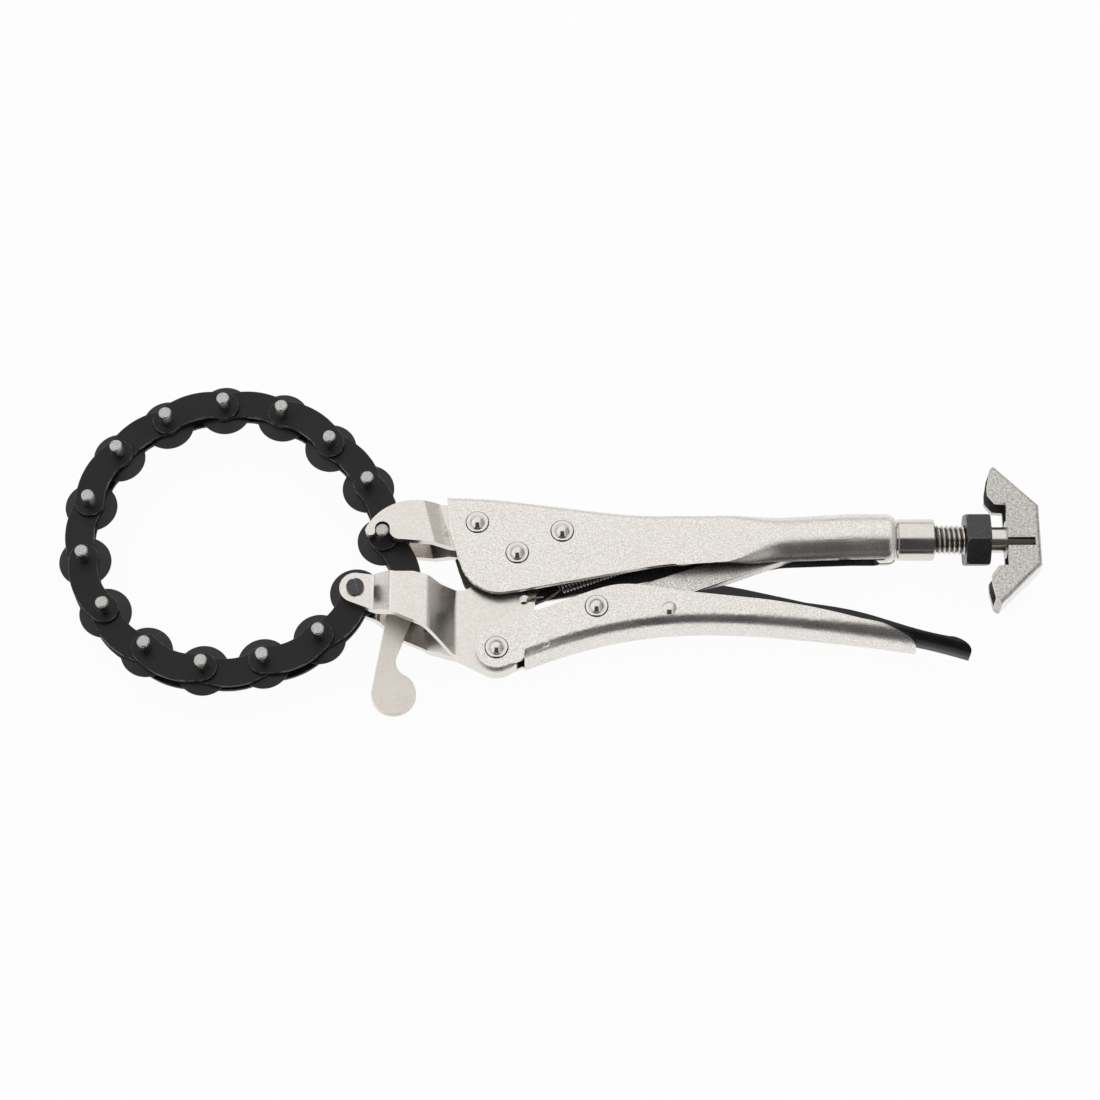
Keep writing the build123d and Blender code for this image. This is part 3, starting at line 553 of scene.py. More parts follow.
screw_nickel = grained("screw_bright_nickel", SCREW_NICKEL, SCREW_SHADE, 1700.0, 0.14, 0.22, 0.014 * MM)
low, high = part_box("screw_bush")
middle = (low + high) / 2
collar = high.x - BUSH_PROJECTION
bush = turned(
    "screw_bush_turned",
    [
        (low.x, BUSH_BORE),
        (low.x, BUSH_BODY),
        (collar - 2.4 * MM, BUSH_BODY),
        (collar - 2.2 * MM, BUSH_NECK),
        (collar + 0.25 * MM, BUSH_NECK),
        (collar + 0.25 * MM, BUSH_RADIUS - 0.3 * MM),
        (collar + 0.55 * MM, BUSH_RADIUS),
        (high.x - BUSH_BREAK, BUSH_RADIUS),
        (high.x, BUSH_RADIUS - BUSH_BREAK),
        (high.x, BUSH_BORE + 0.5 * MM),
        (high.x - 0.5 * MM, BUSH_BORE),
        (low.x, BUSH_BORE),
    ],
    (0, middle.y, middle.z),
    (1, 0, 0),
    screw_nickel,
    steps=72,
)
even_shading(bush, 25.0)
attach(bush, "upper_handle_assembly")
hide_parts("screw_bush")


# Adjusting screw.
# A three-eighths inch screw with a cut V thread from its tip to the wing, and a plain shank inside the wing.
# Its tip bears on the end of the toggle link.
THREAD_PITCH = 1.5875 * MM
THREAD_DEPTH = 0.86 * MM
SHANK_RADIUS = 4.15 * MM
ROWS_PER_TURN = 8
THREAD_SIDES = 40
CREST_SHARE = 0.16
TIP_CHAMFER = 0.8 * MM
# The thread is painted dark between these radii round its root, as painted shade in the grooves.
ROOT_SHADE_FROM = 0.25 * MM
ROOT_SHADE_TO = 0.42 * MM
THREAD_ROOT_SHADE = (0.07, 0.066, 0.06)

low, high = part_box("adjusting_screw")
screw_axis = (low + high) / 2


def depth_group():
    """How deep a point lies under the thread's crest: 0 at the crest, 1 at the root."""
    tree = bpy.data.node_groups.new("thread_depth", "ShaderNodeTree")
    for name in ("Axis Y", "Axis Z", "Root radius", "Crest radius"):
        tree.interface.new_socket(name, in_out="INPUT", socket_type="NodeSocketFloat")
    tree.interface.new_socket("Depth", in_out="OUTPUT", socket_type="NodeSocketFloat")
    given = tree.nodes.new("NodeGroupInput")
    out = tree.nodes.new("NodeGroupOutput")
    place = tree.nodes.new("ShaderNodeTexCoord")
    parts = tree.nodes.new("ShaderNodeSeparateXYZ")
    across = add(tree, "ShaderNodeMath", operation="SUBTRACT")
    upward = add(tree, "ShaderNodeMath", operation="SUBTRACT")
    spot = tree.nodes.new("ShaderNodeCombineXYZ")
    radius = add(tree, "ShaderNodeVectorMath", operation="LENGTH")
    depth = add(tree, "ShaderNodeMapRange", From_Min=0.0, From_Max=1.0, To_Min=1.0, To_Max=0.0)
    tree.links.new(place.outputs["Object"], parts.inputs[0])
    tree.links.new(parts.outputs["Y"], across.inputs[0])
    tree.links.new(given.outputs["Axis Y"], across.inputs[1])
    tree.links.new(parts.outputs["Z"], upward.inputs[0])
    tree.links.new(given.outputs["Axis Z"], upward.inputs[1])
    tree.links.new(across.outputs[0], spot.inputs["Y"])
    tree.links.new(upward.outputs[0], spot.inputs["Z"])
    tree.links.new(spot.outputs[0], radius.inputs[0])
    tree.links.new(radius.outputs["Value"], depth.inputs["Value"])
    tree.links.new(given.outputs["Root radius"], depth.inputs["From Min"])
    tree.links.new(given.outputs["Crest radius"], depth.inputs["From Max"])
    tree.links.new(depth.outputs["Result"], out.inputs["Depth"])
    return tree


def thread_with_painted_root_shade():
    """Nickelled thread, painted darker towards its root as painted shade in the grooves."""
    material = grained("thread_with_painted_root_shade", SCREW_NICKEL, SCREW_SHADE, 1900.0, 0.16, 0.26, 0.004 * MM)
    tree = material.node_tree
    shader = tree.nodes["Principled BSDF"]
    nickel = shader.inputs["Base Color"].links[0].from_socket
    depth = tree.nodes.new("ShaderNodeGroup")
    depth.node_tree = depth_group()
    depth.inputs["Axis Y"].default_value = screw_axis.y
    depth.inputs["Axis Z"].default_value = screw_axis.z
    depth.inputs["Root radius"].default_value = SHANK_RADIUS - ROOT_SHADE_FROM
    depth.inputs["Crest radius"].default_value = SHANK_RADIUS + ROOT_SHADE_TO
    # Painted shade: the colour darkens from crest to root.
    root_shade = add(tree, "ShaderNodeMix", data_type="RGBA")
    root_shade.inputs[7].default_value = (*THREAD_ROOT_SHADE, 1.0)
    tree.links.new(depth.outputs["Depth"], root_shade.inputs["Factor"])
    tree.links.new(nickel, root_shade.inputs[6])
    tree.links.new(root_shade.outputs[2], shader.inputs["Base Color"])
    return material


screw_radius = (high.y - low.y) / 2
thread_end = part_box("lock_nut")[1].x
row_step = THREAD_PITCH / ROWS_PER_TURN
work = bmesh.new()
rows = []
shank_rows = set()
row_count = int((high.x - low.x) / row_step)
for row in range(row_count + 1):
    x = low.x + (high.x - low.x) * row / row_count
    ring = []
    for step in range(THREAD_SIDES):
        turn = step / THREAD_SIDES
        phase = abs(((x - low.x) / THREAD_PITCH - turn) % 1.0 - 0.5) * 2
        rise = min(1.0, max(0.0, (phase - CREST_SHARE / 2) / (1 - CREST_SHARE)))
        radius = screw_radius - THREAD_DEPTH * (1.0 - rise)
        if x > thread_end:
            radius = SHANK_RADIUS
            shank_rows.add(row)
        radius = min(radius, screw_radius - max(0.0, low.x + TIP_CHAMFER - x))
        angle = 2 * math.pi * turn
        ring.append(
            work.verts.new(
                (x, screw_axis.y + radius * math.cos(angle), screw_axis.z + radius * math.sin(angle))
            )
        )
    rows.append(ring)
for row, (lower, upper) in enumerate(zip(rows, rows[1:])):
    for step in range(THREAD_SIDES):
        after = (step + 1) % THREAD_SIDES
        face = work.faces.new((lower[step], upper[step], upper[after], lower[after]))
        face.material_index = 1 if row in shank_rows else 0
work.faces.new(rows[0])
work.faces.new(list(reversed(rows[-1])))
bmesh.ops.recalc_face_normals(work, faces=work.faces)
screw_mesh = bpy.data.meshes.new("adjusting_screw_threaded")
work.to_mesh(screw_mesh)
work.free()
screw_mesh.materials.append(thread_with_painted_root_shade())
screw_mesh.materials.append(screw_nickel)
screw = bpy.data.objects.new("adjusting_screw_threaded", screw_mesh)
bpy.context.scene.collection.objects.link(screw)
for face in screw_mesh.polygons:
    face.use_smooth = True
screw_mesh.set_sharp_from_angle(angle=math.radians(70))
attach(screw, "wing_screw")
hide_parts("adjusting_screw")


# Lock nut.
# A hexagon nut of steel, chamfered on both faces and chemically blacked.
# It runs on the screw and is turned against the bush, so that the setting holds.
NUT_BLACK = (0.095, 0.095, 0.096)
NUT_DEEP = (0.065, 0.065, 0.066)
NUT_EDGE_WEAR_AND_HIGHLIGHT = (0.26, 0.26, 0.26)
NUT_BREAK = 0.25 * MM

nut_black = grained("nut_black_oxide", NUT_BLACK, NUT_DEEP, 1700.0, 0.30, 0.42, 0.004 * MM)
# The broken edges are painted lighter: rubbed wear with a painted highlight.
nut_wear_and_highlight_edge = grained("nut_edge_wear_and_painted_highlight", NUT_EDGE_WEAR_AND_HIGHLIGHT, NUT_BLACK, 900.0, 0.26, 0.40, 0.003 * MM)
broken_edges("lock_nut", "nut", NUT_BREAK, nut_black, nut_wear_and_highlight_edge)


# Wing handle.
# One folded sheet with two claws on each face and a half sleeve round the screw's shank, welded to it.
# Tumbled hard before plating, so its grain is coarser than the handles'.
WING_NICKEL = (0.74, 0.72, 0.69)
WING_SHADE = (0.37, 0.356, 0.338)
WING_FOLD = 1.8 * MM
WING_BREAK = 0.3 * MM
WEB_SLOT = 3

wing_nickel = grained("wing_coarse_nickel", WING_NICKEL, WING_SHADE, 1500.0, 0.24, 0.36, 0.028 * MM)
wing_web_painted_highlight = grained("wing_smooth_web_painted_highlight", PLATED_EDGE_AND_WEB_HIGHLIGHT, WING_NICKEL, 900.0, 0.12, 0.2, 0.003 * MM)


def fold_wing(work):
    """Round the folds between the two flanges and the web, and give the web and folds a smooth finish painted
    lighter as a highlight.
    """
    low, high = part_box("wing_handle")
    face_height = 0.9 * (high.z - low.z) / 2
    folds = []
    for edge in work.edges:
        if len(edge.link_faces) != 2:
            continue
        flat, web = sorted(edge.link_faces, key=lambda face: -abs(face.normal.z))
        height = min(abs(vert.co.z - mid_plane) for vert in edge.verts)
        at_web = abs(flat.normal.z) > 0.9 and abs(web.normal.z) < 0.3 and web.normal.x > 0.3
        if at_web and height > face_height:
            folds.append(edge)
    done = bmesh.ops.bevel(
        work, geom=folds, offset=WING_FOLD, segments=6, profile=0.5, affect="EDGES", clamp_overlap=True
    )
    for face in done["faces"]:
        face.material_index = WEB_SLOT
    # The web and its folds take the smoother finish with the painted highlight.
    for face in work.faces:
        if abs(face.normal.z) < 0.3 and face.normal.x > 0.3:
            face.material_index = WEB_SLOT


wing = broken_edges(
    "wing_handle",
    "wing_screw",
    WING_BREAK,
    wing_nickel,
    bright_edge,
    inside=inside_painted_shade,
    reshape=fold_wing,
)
wing.data.materials.append(wing_web_painted_highlight)


# Lower jaw plates, with the black screw and nut that hold the chain's first link.
# The plates lie together at the rear, bow apart to let the chain through, and close on the first link.
BOW_BENDS = (2.4 * MM, 0.9 * MM)
ANCHOR_BREAK = 0.12 * MM

for side in ("near", "far"):
    broken_edges(
        f"lower_jaw_{side}_plate",
        "lower_jaw",
        JAW_BREAK,
        jaw_nickel,
        bright_edge,
        bends=BOW_BENDS,
    )
for node in ("chain_anchor_screw", "chain_anchor_nut"):
    broken_edges(node, "lower_jaw", ANCHOR_BREAK, nut_black, nut_wear_and_highlight_edge)


# Tension spring and its anchor pin.
# Closely wound wire with a hook through the lower jaw's hole and an eye round the pin in the upper handle.
# The hook moves a little with the jaw, so the real coils give way between the two; here the spring is one
# fixed mesh, joined to no body.
WIRE_RADIUS = 0.45 * MM
COIL_RADIUS = 1.8 * MM
COIL_PITCH = 1.12 * MM
COIL_START = (47.1, 7.7)
COIL_END = (74.6, 17.3)
HOOK_HOLE = (36.85, 2.3)
EYE_CENTRE = (80.6, 19.5)
EYE_RADIUS = 2.1
POINTS_PER_TURN = 14
WIRE_SIDES = 8
SPRING_PIN_BREAK = 0.1 * MM
SPRING_STEEL = (0.42, 0.41, 0.39)
SPRING_SHADE = (0.18, 0.175, 0.165)


def wire(name, path, radius, sides, finish):
    """Round wire bent along a path of points."""
    mesh = bpy.data.meshes.new(name)
    work = bmesh.new()
    rings = []
    across = Vector((0, 0, 1))
    for index, point in enumerate(path):
        ahead = path[min(index + 1, len(path) - 1)] - path[max(index - 1, 0)]
        ahead.normalize()
        across = (across - ahead * across.dot(ahead)).normalized()
        upright = ahead.cross(across)
        ring = []
        for step in range(sides):
            angle = 2 * math.pi * step / sides
            out = across * math.cos(angle) + upright * math.sin(angle)
            ring.append(work.verts.new(point + out * radius))
        rings.append(ring)
    for lower, upper in zip(rings, rings[1:]):
        for step in range(sides):
            after = (step + 1) % sides
            work.faces.new((lower[step], lower[after], upper[after], upper[step]))
    work.faces.new(list(reversed(rings[0])))
    work.faces.new(rings[-1])
    bmesh.ops.recalc_face_normals(work, faces=work.faces)
    work.to_mesh(mesh)
    work.free()
    for face in mesh.polygons:
        face.use_smooth = True
    mesh.set_sharp_from_angle(angle=math.radians(60))
    mesh.materials.append(finish)
    piece = bpy.data.objects.new(name, mesh)
    bpy.context.scene.collection.objects.link(piece)
    return piece


def flat_point(x, y, z=0.0):
    """A point given in millimetres along the handles, up to the upper handle, and from the middle plane."""
    return Vector((x * MM, y * MM, mid_plane + z * MM))


coil_start = flat_point(*COIL_START)
coil_end = flat_point(*COIL_END)
coil_run = (coil_end - coil_start).normalized()
coil_side = Vector((-coil_run.y, coil_run.x, 0))
coil_length = (coil_end - coil_start).length
turns = round(coil_length / COIL_PITCH)
hook_points = [(5.0, 0.6, 3.55), (1.2, 0.15, 3.55), (0.2, 0.0, 3.2), (0.0, 0.0, 2.4), (0.0, 0.0, 0.0)]
hook_points += [(0.0, 0.0, -2.4), (0.2, 0.05, -3.2), (1.2, 0.5, -3.55), (5.0, 2.2, -3.3), (8.0, 3.8, -2.6)]
path = [flat_point(HOOK_HOLE[0] + x, HOOK_HOLE[1] + y, z) for x, y, z in hook_points]
for step in range(turns * POINTS_PER_TURN + 1):
    turn = step / POINTS_PER_TURN
    angle = 2 * math.pi * turn
    along = coil_length * turn / turns
    path.append(
        coil_start
        + coil_run * along
        - Vector((0, 0, 1)) * COIL_RADIUS * math.cos(angle)
        + coil_side * COIL_RADIUS * math.sin(angle)
    )
for angle in range(115, -135, -15):
    eye = Vector((math.cos(math.radians(angle)), math.sin(math.radians(angle)), 0))
    path.append(flat_point(*EYE_CENTRE) + eye * EYE_RADIUS * MM)
spring_steel = grained("spring_wire", SPRING_STEEL, SPRING_SHADE, 1600.0, 0.18, 0.32, 0.002 * MM)
spring = wire("tension_spring_wound", path, WIRE_RADIUS, WIRE_SIDES, spring_steel)
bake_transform(spring)
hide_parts("tension_spring")
broken_edges(
    "spring_anchor", "upper_handle_assembly", SPRING_PIN_BREAK, rivet_nickel, bright_edge
)


# Lower handle.
# The same sheet as the upper handle, folded to a deep channel with a rounded keel.
# Its front ears step inward over the jaw plates, and its open end is cut round.
KEEL_FOLD = 4.2
KEEL_FOLD_GROWTH = 0.022
KEEL_FRONT_Y = -36.7
KEEL_SLOPE = 0.360
HALF_WIDTH = 7.25
JOGGLE_FROM = 4.5
JOGGLE_TO = 13.5
JOGGLE_ROWS = 12
JOGGLE_LEVELS = (0.3, 0.8, 1.4, 2.1, 2.9, 3.7)
STANDS_PROUD = 0.03
SEATED_AT = 0.01
LEVER_RIVET_BREAK = 0.08 * MM


def seat_joggle(work):
    """Draw the lower end of the side's step in to the rounded keel, so that the fold runs on unbroken."""
    pivot = centre_of("jaw_pivot_rivet")
    width = (JOGGLE_TO - JOGGLE_FROM) / JOGGLE_ROWS
    cut_rows(work, [pivot.x + (JOGGLE_FROM + width * row) * MM for row in range(JOGGLE_ROWS + 1)])
    for level in JOGGLE_LEVELS:
        patch = set()
        for face in work.faces:
            if JOGGLE_FROM < (face.calc_center_median().x - pivot.x) / MM < JOGGLE_TO:
                patch.update((face, *face.edges, *face.verts))
        spot = (pivot.x, pivot.y + (KEEL_FRONT_Y + KEEL_FOLD - level) * MM, 0)
        bmesh.ops.bisect_plane(work, geom=list(patch), plane_co=spot, plane_no=(-KEEL_SLOPE, 1, 0))
    for vert in work.verts:
        x = (vert.co.x - pivot.x) / MM
        if not JOGGLE_FROM < x < JOGGLE_TO:
            continue
        fold = KEEL_FOLD + KEEL_FOLD_GROWTH * x
        out = (vert.co.z - pivot.z) / MM
        down = KEEL_FRONT_Y + KEEL_SLOPE * x + fold - (vert.co.y - pivot.y) / MM
        away = Vector((down, abs(out) - HALF_WIDTH + fold))
        if away.x > 0 and away.y > 0 and away.length > fold + STANDS_PROUD:
            away = away.normalized() * (fold + SEATED_AT)
            vert.co.y = pivot.y + (KEEL_FRONT_Y + KEEL_SLOPE * x + fold - away.x) * MM
            vert.co.z = pivot.z + math.copysign(HALF_WIDTH - fold + away.y, out) * MM


broken_edges(
    "lower_handle",
    "lower_handle_assembly",
    SHEET_BREAK,
    handle_nickel,
    bright_edge,
    inside=inside_painted_shade,
    reshape=seat_joggle,
)
broken_edges(
    "lever_rivet", "lower_handle_assembly", LEVER_RIVET_BREAK, rivet_nickel, bright_edge
)


# Toggle link.
# A bar blanked from 4 mm strip and plated with the handles.
# It carries the closing force from its rivet in the lower handle to the screw's tip.
TOGGLE_BREAK = 0.3 * MM

toggle_nickel = grained("toggle_matte_nickel", HANDLE_NICKEL, WING_SHADE, 2400.0, 0.30, 0.42, 0.016 * MM)
broken_edges("toggle_link", "toggle", TOGGLE_BREAK, toggle_nickel, bright_edge)


# Release lever.
# A narrow channel folded from steel sheet and blacked to a soft gloss.
# It turns on its own rivet inside the lower handle and sticks out behind it, to be pressed by the fingers.
LEVER_BLACK = (0.010, 0.010, 0.0105)
LEVER_DEEP = (0.006, 0.006, 0.0065)
LEVER_EDGE_WEAR_AND_HIGHLIGHT = (0.06, 0.06, 0.06)
CHEEK = (
    (57.0, -15.5),
    (56.5, -12.4),
    (65.0, -10.3),
    (71.0, -11.5),
    (83.5, -14.4),
    (101.0, -18.6),
    (92.0, -19.0),
)
CHEEK_INNER = 3.55 * MM
CHEEK_OUTER = 4.97 * MM
LEVER_BREAK = 0.2 * MM

lever_black = grained(
    "lever_satin_black", LEVER_BLACK, LEVER_DEEP, 1300.0, 0.26, 0.34, 0.004 * MM, metallic=0.0, lustre=0.4
)
# The lever's broken edges are painted lighter: rubbed wear with a painted highlight.
lever_wear_and_highlight_edge = grained(
    "lever_edge_wear_and_painted_highlight", LEVER_EDGE_WEAR_AND_HIGHLIGHT, LEVER_BLACK, 700.0, 0.26, 0.4, 0.002 * MM, metallic=0.0, lustre=0.62
)
lever = broken_edges("release_lever", "release", LEVER_BREAK, lever_black, lever_wear_and_highlight_edge)
pivot = centre_of("jaw_pivot_rivet")
work = bmesh.new()
work.from_mesh(lever.data)
for inner, outer in ((CHEEK_INNER, CHEEK_OUTER), (-CHEEK_OUTER, -CHEEK_INNER)):
    level = []
    for z in (inner, outer):
        level.append([work.verts.new((pivot.x + x * MM, pivot.y + y * MM, pivot.z + z)) for x, y in CHEEK])
    work.faces.new(level[0])
    work.faces.new(list(reversed(level[1])))
    for step in range(len(CHEEK)):
        after = (step + 1) % len(CHEEK)
        work.faces.new((level[0][step], level[1][step], level[1][after], level[0][after]))
bmesh.ops.recalc_face_normals(work, faces=work.faces)
work.to_mesh(lever.data)
work.free()
even_shading(lever)


# Chain links.
# Inner and outer links in turn, each of two curved plates that bulge away from the pipe.
# Blanked, tumbled and oiled black; the thin lighter lines along the edges are rubbed wear with a painted
# highlight.
CHAIN_BLACK = (0.013, 0.013, 0.0135)
CHAIN_DEEP = (0.008, 0.008, 0.0085)
CHAIN_EDGE_WEAR_AND_HIGHLIGHT = (0.15, 0.15, 0.15)
LINK_COUNT = 15
LINK_BREAK = 0.2 * MM

chain_black = grained(
    "chain_oiled_black", CHAIN_BLACK, CHAIN_DEEP, 1500.0, 0.36, 0.5, 0.008 * MM, metallic=0.0, lustre=0.3
)
# Lighter edge finish: rubbed wear with a painted highlight.
chain_wear_and_highlight_edge = grained("chain_edge_wear_and_painted_highlight", CHAIN_EDGE_WEAR_AND_HIGHLIGHT, CHAIN_BLACK, 600.0, 0.3, 0.46, 0.003 * MM, metallic=0.7)
for number in range(1, LINK_COUNT + 1):
    kind = "inner" if number % 2 else "outer"
    broken_edges(
        f"{kind}_link_{number:02d}", f"link_{number:02d}", LINK_BREAK, chain_black, chain_wear_and_highlight_edge
    )


# Chain pins.
# Long steel pins pressed into the outer plates, left bright, with a chamfer turned on both ends.
# Either end can be hooked in the jaw, so they stand out on both sides.
PIN_STEEL = (0.64, 0.635, 0.62)
PIN_SHADE = (0.37, 0.365, 0.36)
PIN_RADIUS = 2.05 * MM
PIN_HALF_LENGTH = 9.8 * MM
PIN_STEPS = 40

pin_steel = grained("pin_turned_steel", PIN_STEEL, PIN_SHADE, 2600.0, 0.20, 0.34, 0.012 * MM)
pin_half = [
    (PIN_HALF_LENGTH - 0.42 * MM, PIN_RADIUS),
    (PIN_HALF_LENGTH - 0.34 * MM, PIN_RADIUS - 0.03 * MM),
    (PIN_HALF_LENGTH - 0.06 * MM, PIN_RADIUS - 0.30 * MM),
    (PIN_HALF_LENGTH, PIN_RADIUS - 0.42 * MM),
    (PIN_HALF_LENGTH - 0.05 * MM, PIN_RADIUS * 0.45),
    (PIN_HALF_LENGTH - 0.10 * MM, 0.0),
]
pin_outline = [(-along, radius) for along, radius in reversed(pin_half)] + pin_half
for number in range(2, LINK_COUNT, 2):
    pair = []
    for pin in (number - 1, number):
        centre = centre_of(f"cutting_wheel_{pin:02d}")
        pair.append(turned("pin", pin_outline, centre, (0, 0, 1), pin_steel, steps=PIN_STEPS))
    pins = joined(f"link_pins_{number:02d}_turned", pair)
    even_shading(pins, 50.0)
    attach(pins, f"link_{number:02d}")
    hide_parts(f"link_pins_{number:02d}")


# Cutting wheels.
# Hardened and blacked steel discs, one on the anchor screw and one on each chain pin.
# They turn freely there, and are ground from both sides to a thin cutting edge.
WHEEL_BLACK = (0.014, 0.014, 0.0145)
WHEEL_DEEP = (0.009, 0.009, 0.0095)
WHEEL_RADIUS = 8.29 * MM
WHEEL_HALF = 1.1 * MM
WHEEL_LAND = 4.4 * MM
WHEEL_EDGE_HALF = 0.16 * MM
WHEEL_BORE = 2.13 * MM

wheel_black = grained(
    "wheel_black_oxide", WHEEL_BLACK, WHEEL_DEEP, 1200.0, 0.34, 0.46, 0.006 * MM, metallic=0.0, lustre=0.45
)
wheel_outline = [
    (-WHEEL_HALF, WHEEL_BORE),
    (-WHEEL_HALF, WHEEL_LAND - 0.1 * MM),
    (-WHEEL_HALF + 0.02 * MM, WHEEL_LAND),
    (-WHEEL_EDGE_HALF - 0.03 * MM, WHEEL_RADIUS - 0.07 * MM),
    (-WHEEL_EDGE_HALF, WHEEL_RADIUS),
    (WHEEL_EDGE_HALF, WHEEL_RADIUS),
    (WHEEL_EDGE_HALF + 0.03 * MM, WHEEL_RADIUS - 0.07 * MM),
    (WHEEL_HALF - 0.02 * MM, WHEEL_LAND),
    (WHEEL_HALF, WHEEL_LAND - 0.1 * MM),
    (WHEEL_HALF, WHEEL_BORE),
    (-WHEEL_HALF, WHEEL_BORE),
]
for number in range(LINK_COUNT):
    node = f"cutting_wheel_{number:02d}"
    wheel = turned(node + "_ground", wheel_outline, centre_of(node), (0, 0, 1), wheel_black, steps=72)
    even_shading(wheel, 25.0)
    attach(wheel, f"wheel_{number:02d}")
    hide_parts(node)


# Pull tab and its rivet.
# A flat tab with a round end, blanked from strip and plated matte.
# The short rivet holds it between the last inner plates, and it draws the chain through the jaw.
TAB_NICKEL = (0.79, 0.745, 0.69)
TAB_SHADE = (0.73, 0.69, 0.635)
TAB_BREAK = 0.2 * MM

tab_nickel = grained("tab_matte_nickel", TAB_NICKEL, TAB_SHADE, 1100.0, 0.42, 0.52, 0.004 * MM)
broken_edges("pull_tab", "tab", TAB_BREAK, tab_nickel, bright_edge)
broken_edges("tail_rivet", "link_15", TAB_BREAK, chain_black, chain_wear_and_highlight_edge)


# Bench, light and viewpoint.
# A pale bench under a wide white studio, with a dark flag behind the viewer, a grey one to the right,
# and a darker room along the horizon, which draws the thin dark lines along the metal's edges.
VIEW_TILT = math.radians(23.0)
VIEW_DISTANCE = 0.955
VIEW_CENTRE = Vector((0.04392, 0.02055, 0.01265))
SENSOR_WIDTH = 36.0
FOCAL_PIXELS = 3000.0
FRAME_PIXELS = 1100.0
BENCH_HALF = 4.0
BENCH_DROP = 0.3 * MM
BENCH_TONES = (0.94, 0.97)
BENCH_SEEN = 0.95
FLAG_TOP = (7.0, 14.0)
FLAG_FOOT = (-52.0, -74.0)
FLAG_ENDS = (0.35, 0.60)
RIGHT_FLAG = (0.85, 0.40)
RIGHT_FLAG_TONE = 0.42
HORIZON = (0.03, 0.24)
HORIZON_TONE = 0.24
FLAG_BLACK = (0.06, 0.06, 0.061, 1.0)
STUDIO_WHITE = (0.98, 0.975, 0.965, 1.0)
SOFTBOX_PLACE = (-0.75, 0.2, 0.4)
SOFTBOX_SIZE = 0.4
SOFTBOX_POWER = 0.08


def worked_out(tree, operation, *values):
    """The result of a maths node on one or two values, each a socket or a plain number."""
    node = add(tree, "ShaderNodeMath", operation=operation)
    for socket, value in zip(node.inputs, values):
        if isinstance(value, float):
            socket.default_value = value
        else:
            tree.links.new(value, socket)
    return node.outputs[0]


def faded(tree, source, limits, least=0.0):
    """A soft step from the least value to 1 as the source goes from the first limit to the second."""
    node = add(tree, "ShaderNodeMapRange", interpolation_type="SMOOTHSTEP", To_Min=least)
    node.inputs["From Min"].default_value, node.inputs["From Max"].default_value = limits
    tree.links.new(source, node.inputs["Value"])
    return node.outputs["Result"]


def mixed(tree, factor, first, second):
    """A colour between two, each a socket or a plain colour."""
    node = add(tree, "ShaderNodeMix", data_type="RGBA")
    tree.links.new(factor, node.inputs["Factor"])
    for index, value in ((6, first), (7, second)):
        if isinstance(value, tuple):
            node.inputs[index].default_value = value
        else:
            tree.links.new(value, node.inputs[index])
    return node.outputs[2]


bench_mesh = bpy.data.meshes.new("bench")
corners = [(-BENCH_HALF, -BENCH_HALF, 0), (BENCH_HALF, -BENCH_HALF, 0)]
corners += [(BENCH_HALF, BENCH_HALF, 0), (-BENCH_HALF, BENCH_HALF, 0)]
bench_mesh.from_pydata(corners, [], [(0, 1, 2, 3)])
bench_mesh.transform(Matrix.Translation((0, 0, -BENCH_DROP)))
bench = bpy.data.objects.new("bench", bench_mesh)
bpy.context.scene.collection.objects.link(bench)
bench_white = bpy.data.materials.new("bench_white")
bench_white.use_nodes = True
tree = bench_white.node_tree
shader = tree.nodes["Principled BSDF"]
shader.inputs["Roughness"].default_value = 0.95
shader.inputs["Specular IOR Level"].default_value = 0.0
paper = add(tree, "ShaderNodeTexNoise", Scale=9.0, Detail=2.0)
dull, bright = BENCH_TONES
paper_tone = mixed(tree, paper.outputs["Fac"], (dull, dull, dull, 1.0), (bright, bright, bright, 1.0))
tree.links.new(paper_tone, shader.inputs["Base Color"])
glow = add(tree, "ShaderNodeEmission", Strength=1.0)
ray = tree.nodes.new("ShaderNodeLightPath")
seen = worked_out(tree, "MAXIMUM", ray.outputs["Is Camera Ray"], ray.outputs["Is Glossy Ray"])
seen = worked_out(tree, "MAXIMUM", seen, ray.outputs["Is Transmission Ray"])
both = tree.nodes.new("ShaderNodeMixShader")
tree.links.new(worked_out(tree, "MULTIPLY", seen, BENCH_SEEN), both.inputs["Fac"])
tree.links.new(shader.outputs["BSDF"], both.inputs[1])
tree.links.new(glow.outputs["Emission"], both.inputs[2])
tree.links.new(both.outputs["Shader"], tree.nodes["Material Output"].inputs["Surface"])
bench_mesh.materials.append(bench_white)

studio = bpy.data.worlds.new("studio")
bpy.context.scene.world = studio
studio.use_nodes = True
tree = studio.node_tree
tree.nodes.clear()
sky = tree.nodes.new("ShaderNodeTexCoord")
toward = add(tree, "ShaderNodeVectorMath", operation="DOT_PRODUCT")
toward.inputs[1].default_value = (0.0, -math.sin(VIEW_TILT), math.cos(VIEW_TILT))
above = add(tree, "ShaderNodeVectorMath", operation="DOT_PRODUCT")
above.inputs[1].default_value = (0.0, math.cos(VIEW_TILT), math.sin(VIEW_TILT))
tree.links.new(sky.outputs["Generated"], toward.inputs[0])
tree.links.new(sky.outputs["Generated"], above.inputs[0])
bearing = worked_out(tree, "ARCTAN2", above.outputs["Value"], toward.outputs["Value"])
parts = tree.nodes.new("ShaderNodeSeparateXYZ")
tree.links.new(sky.outputs["Generated"], parts.inputs[0])
sideways = worked_out(tree, "ABSOLUTE", parts.outputs["X"])
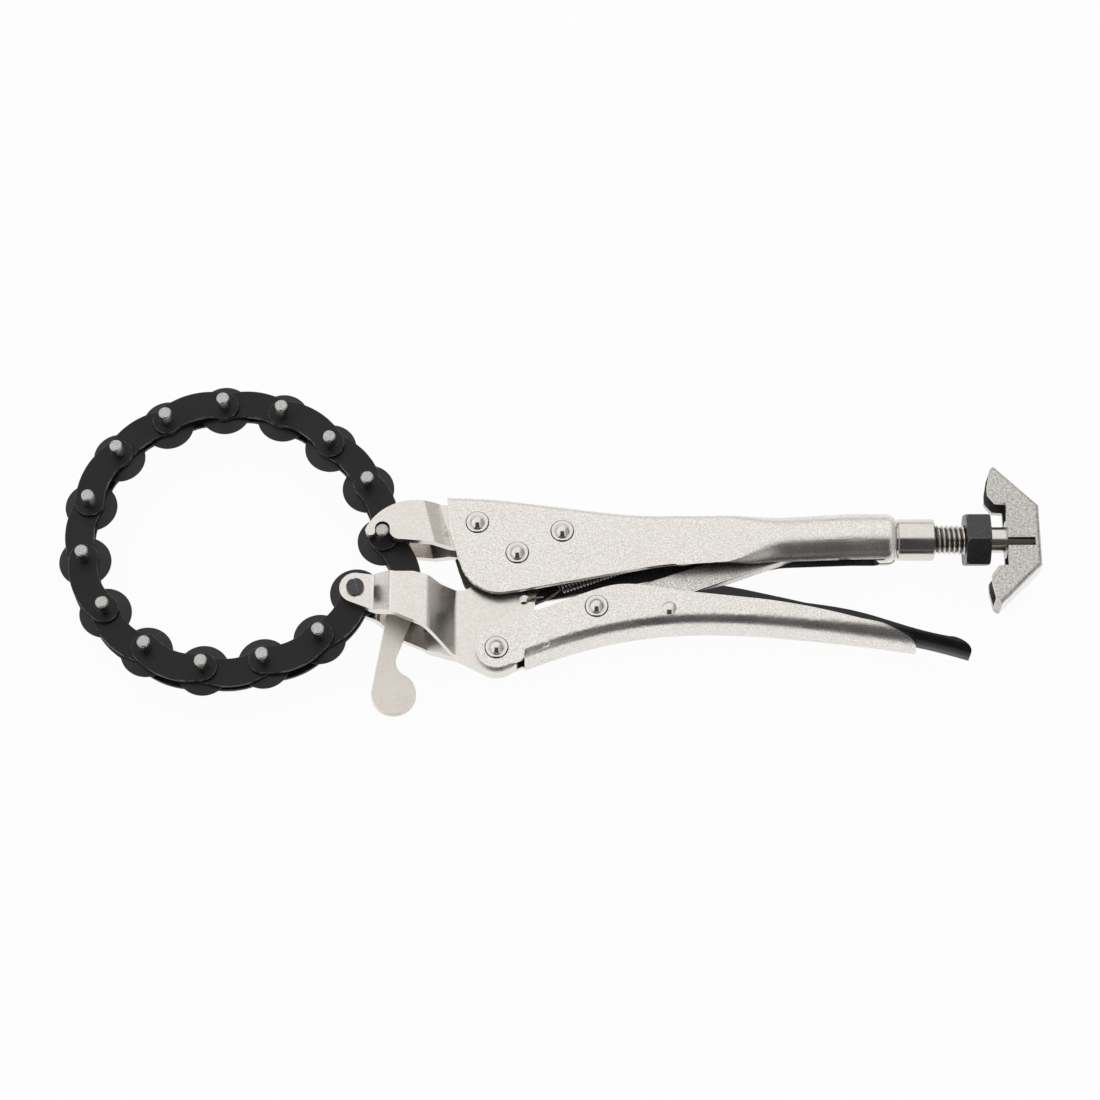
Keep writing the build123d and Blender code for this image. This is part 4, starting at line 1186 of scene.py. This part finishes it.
over_flag = faded(tree, bearing, [math.radians(angle) for angle in FLAG_TOP])
under_flag = faded(tree, bearing, [math.radians(angle) for angle in FLAG_FOOT])
past_flag = worked_out(tree, "MAXIMUM", over_flag, under_flag)
past_flag = worked_out(tree, "MAXIMUM", past_flag, faded(tree, sideways, FLAG_ENDS))
left = faded(tree, parts.outputs["X"], RIGHT_FLAG, RIGHT_FLAG_TONE)
high_up = faded(tree, parts.outputs["Z"], HORIZON, HORIZON_TONE)
light = worked_out(tree, "MULTIPLY", worked_out(tree, "MULTIPLY", past_flag, left), high_up)
tone = mixed(tree, light, FLAG_BLACK, STUDIO_WHITE)
ray = tree.nodes.new("ShaderNodeLightPath")
seen = worked_out(tree, "MAXIMUM", ray.outputs["Is Camera Ray"], ray.outputs["Is Transmission Ray"])
backdrop = tree.nodes.new("ShaderNodeBackground")
tree.links.new(mixed(tree, seen, tone, (1.0, 1.0, 1.0, 1.0)), backdrop.inputs["Color"])
world_out = tree.nodes.new("ShaderNodeOutputWorld")
tree.links.new(backdrop.outputs["Background"], world_out.inputs["Surface"])

lamp = bpy.data.lights.new("left_softbox", "AREA")
lamp.size = SOFTBOX_SIZE
lamp.energy = SOFTBOX_POWER
softbox = bpy.data.objects.new("left_softbox", lamp)
softbox.location = SOFTBOX_PLACE
softbox.rotation_euler = (VIEW_CENTRE - softbox.location).to_track_quat("-Z", "Y").to_euler()
bpy.context.scene.collection.objects.link(softbox)

camera_data = bpy.data.cameras.new("viewpoint")
camera_data.lens = SENSOR_WIDTH * FOCAL_PIXELS / FRAME_PIXELS
camera_data.sensor_width = SENSOR_WIDTH
camera_data.clip_start = 0.05
camera_data.clip_end = 20.0
camera = bpy.data.objects.new("viewpoint", camera_data)
camera.location = VIEW_CENTRE + Vector((0, -math.sin(VIEW_TILT), math.cos(VIEW_TILT))) * VIEW_DISTANCE
camera.rotation_euler = (VIEW_TILT, 0, 0)
bpy.context.scene.collection.objects.link(camera)
bpy.context.scene.camera = camera
bpy.context.scene.view_settings.view_transform = "Standard"
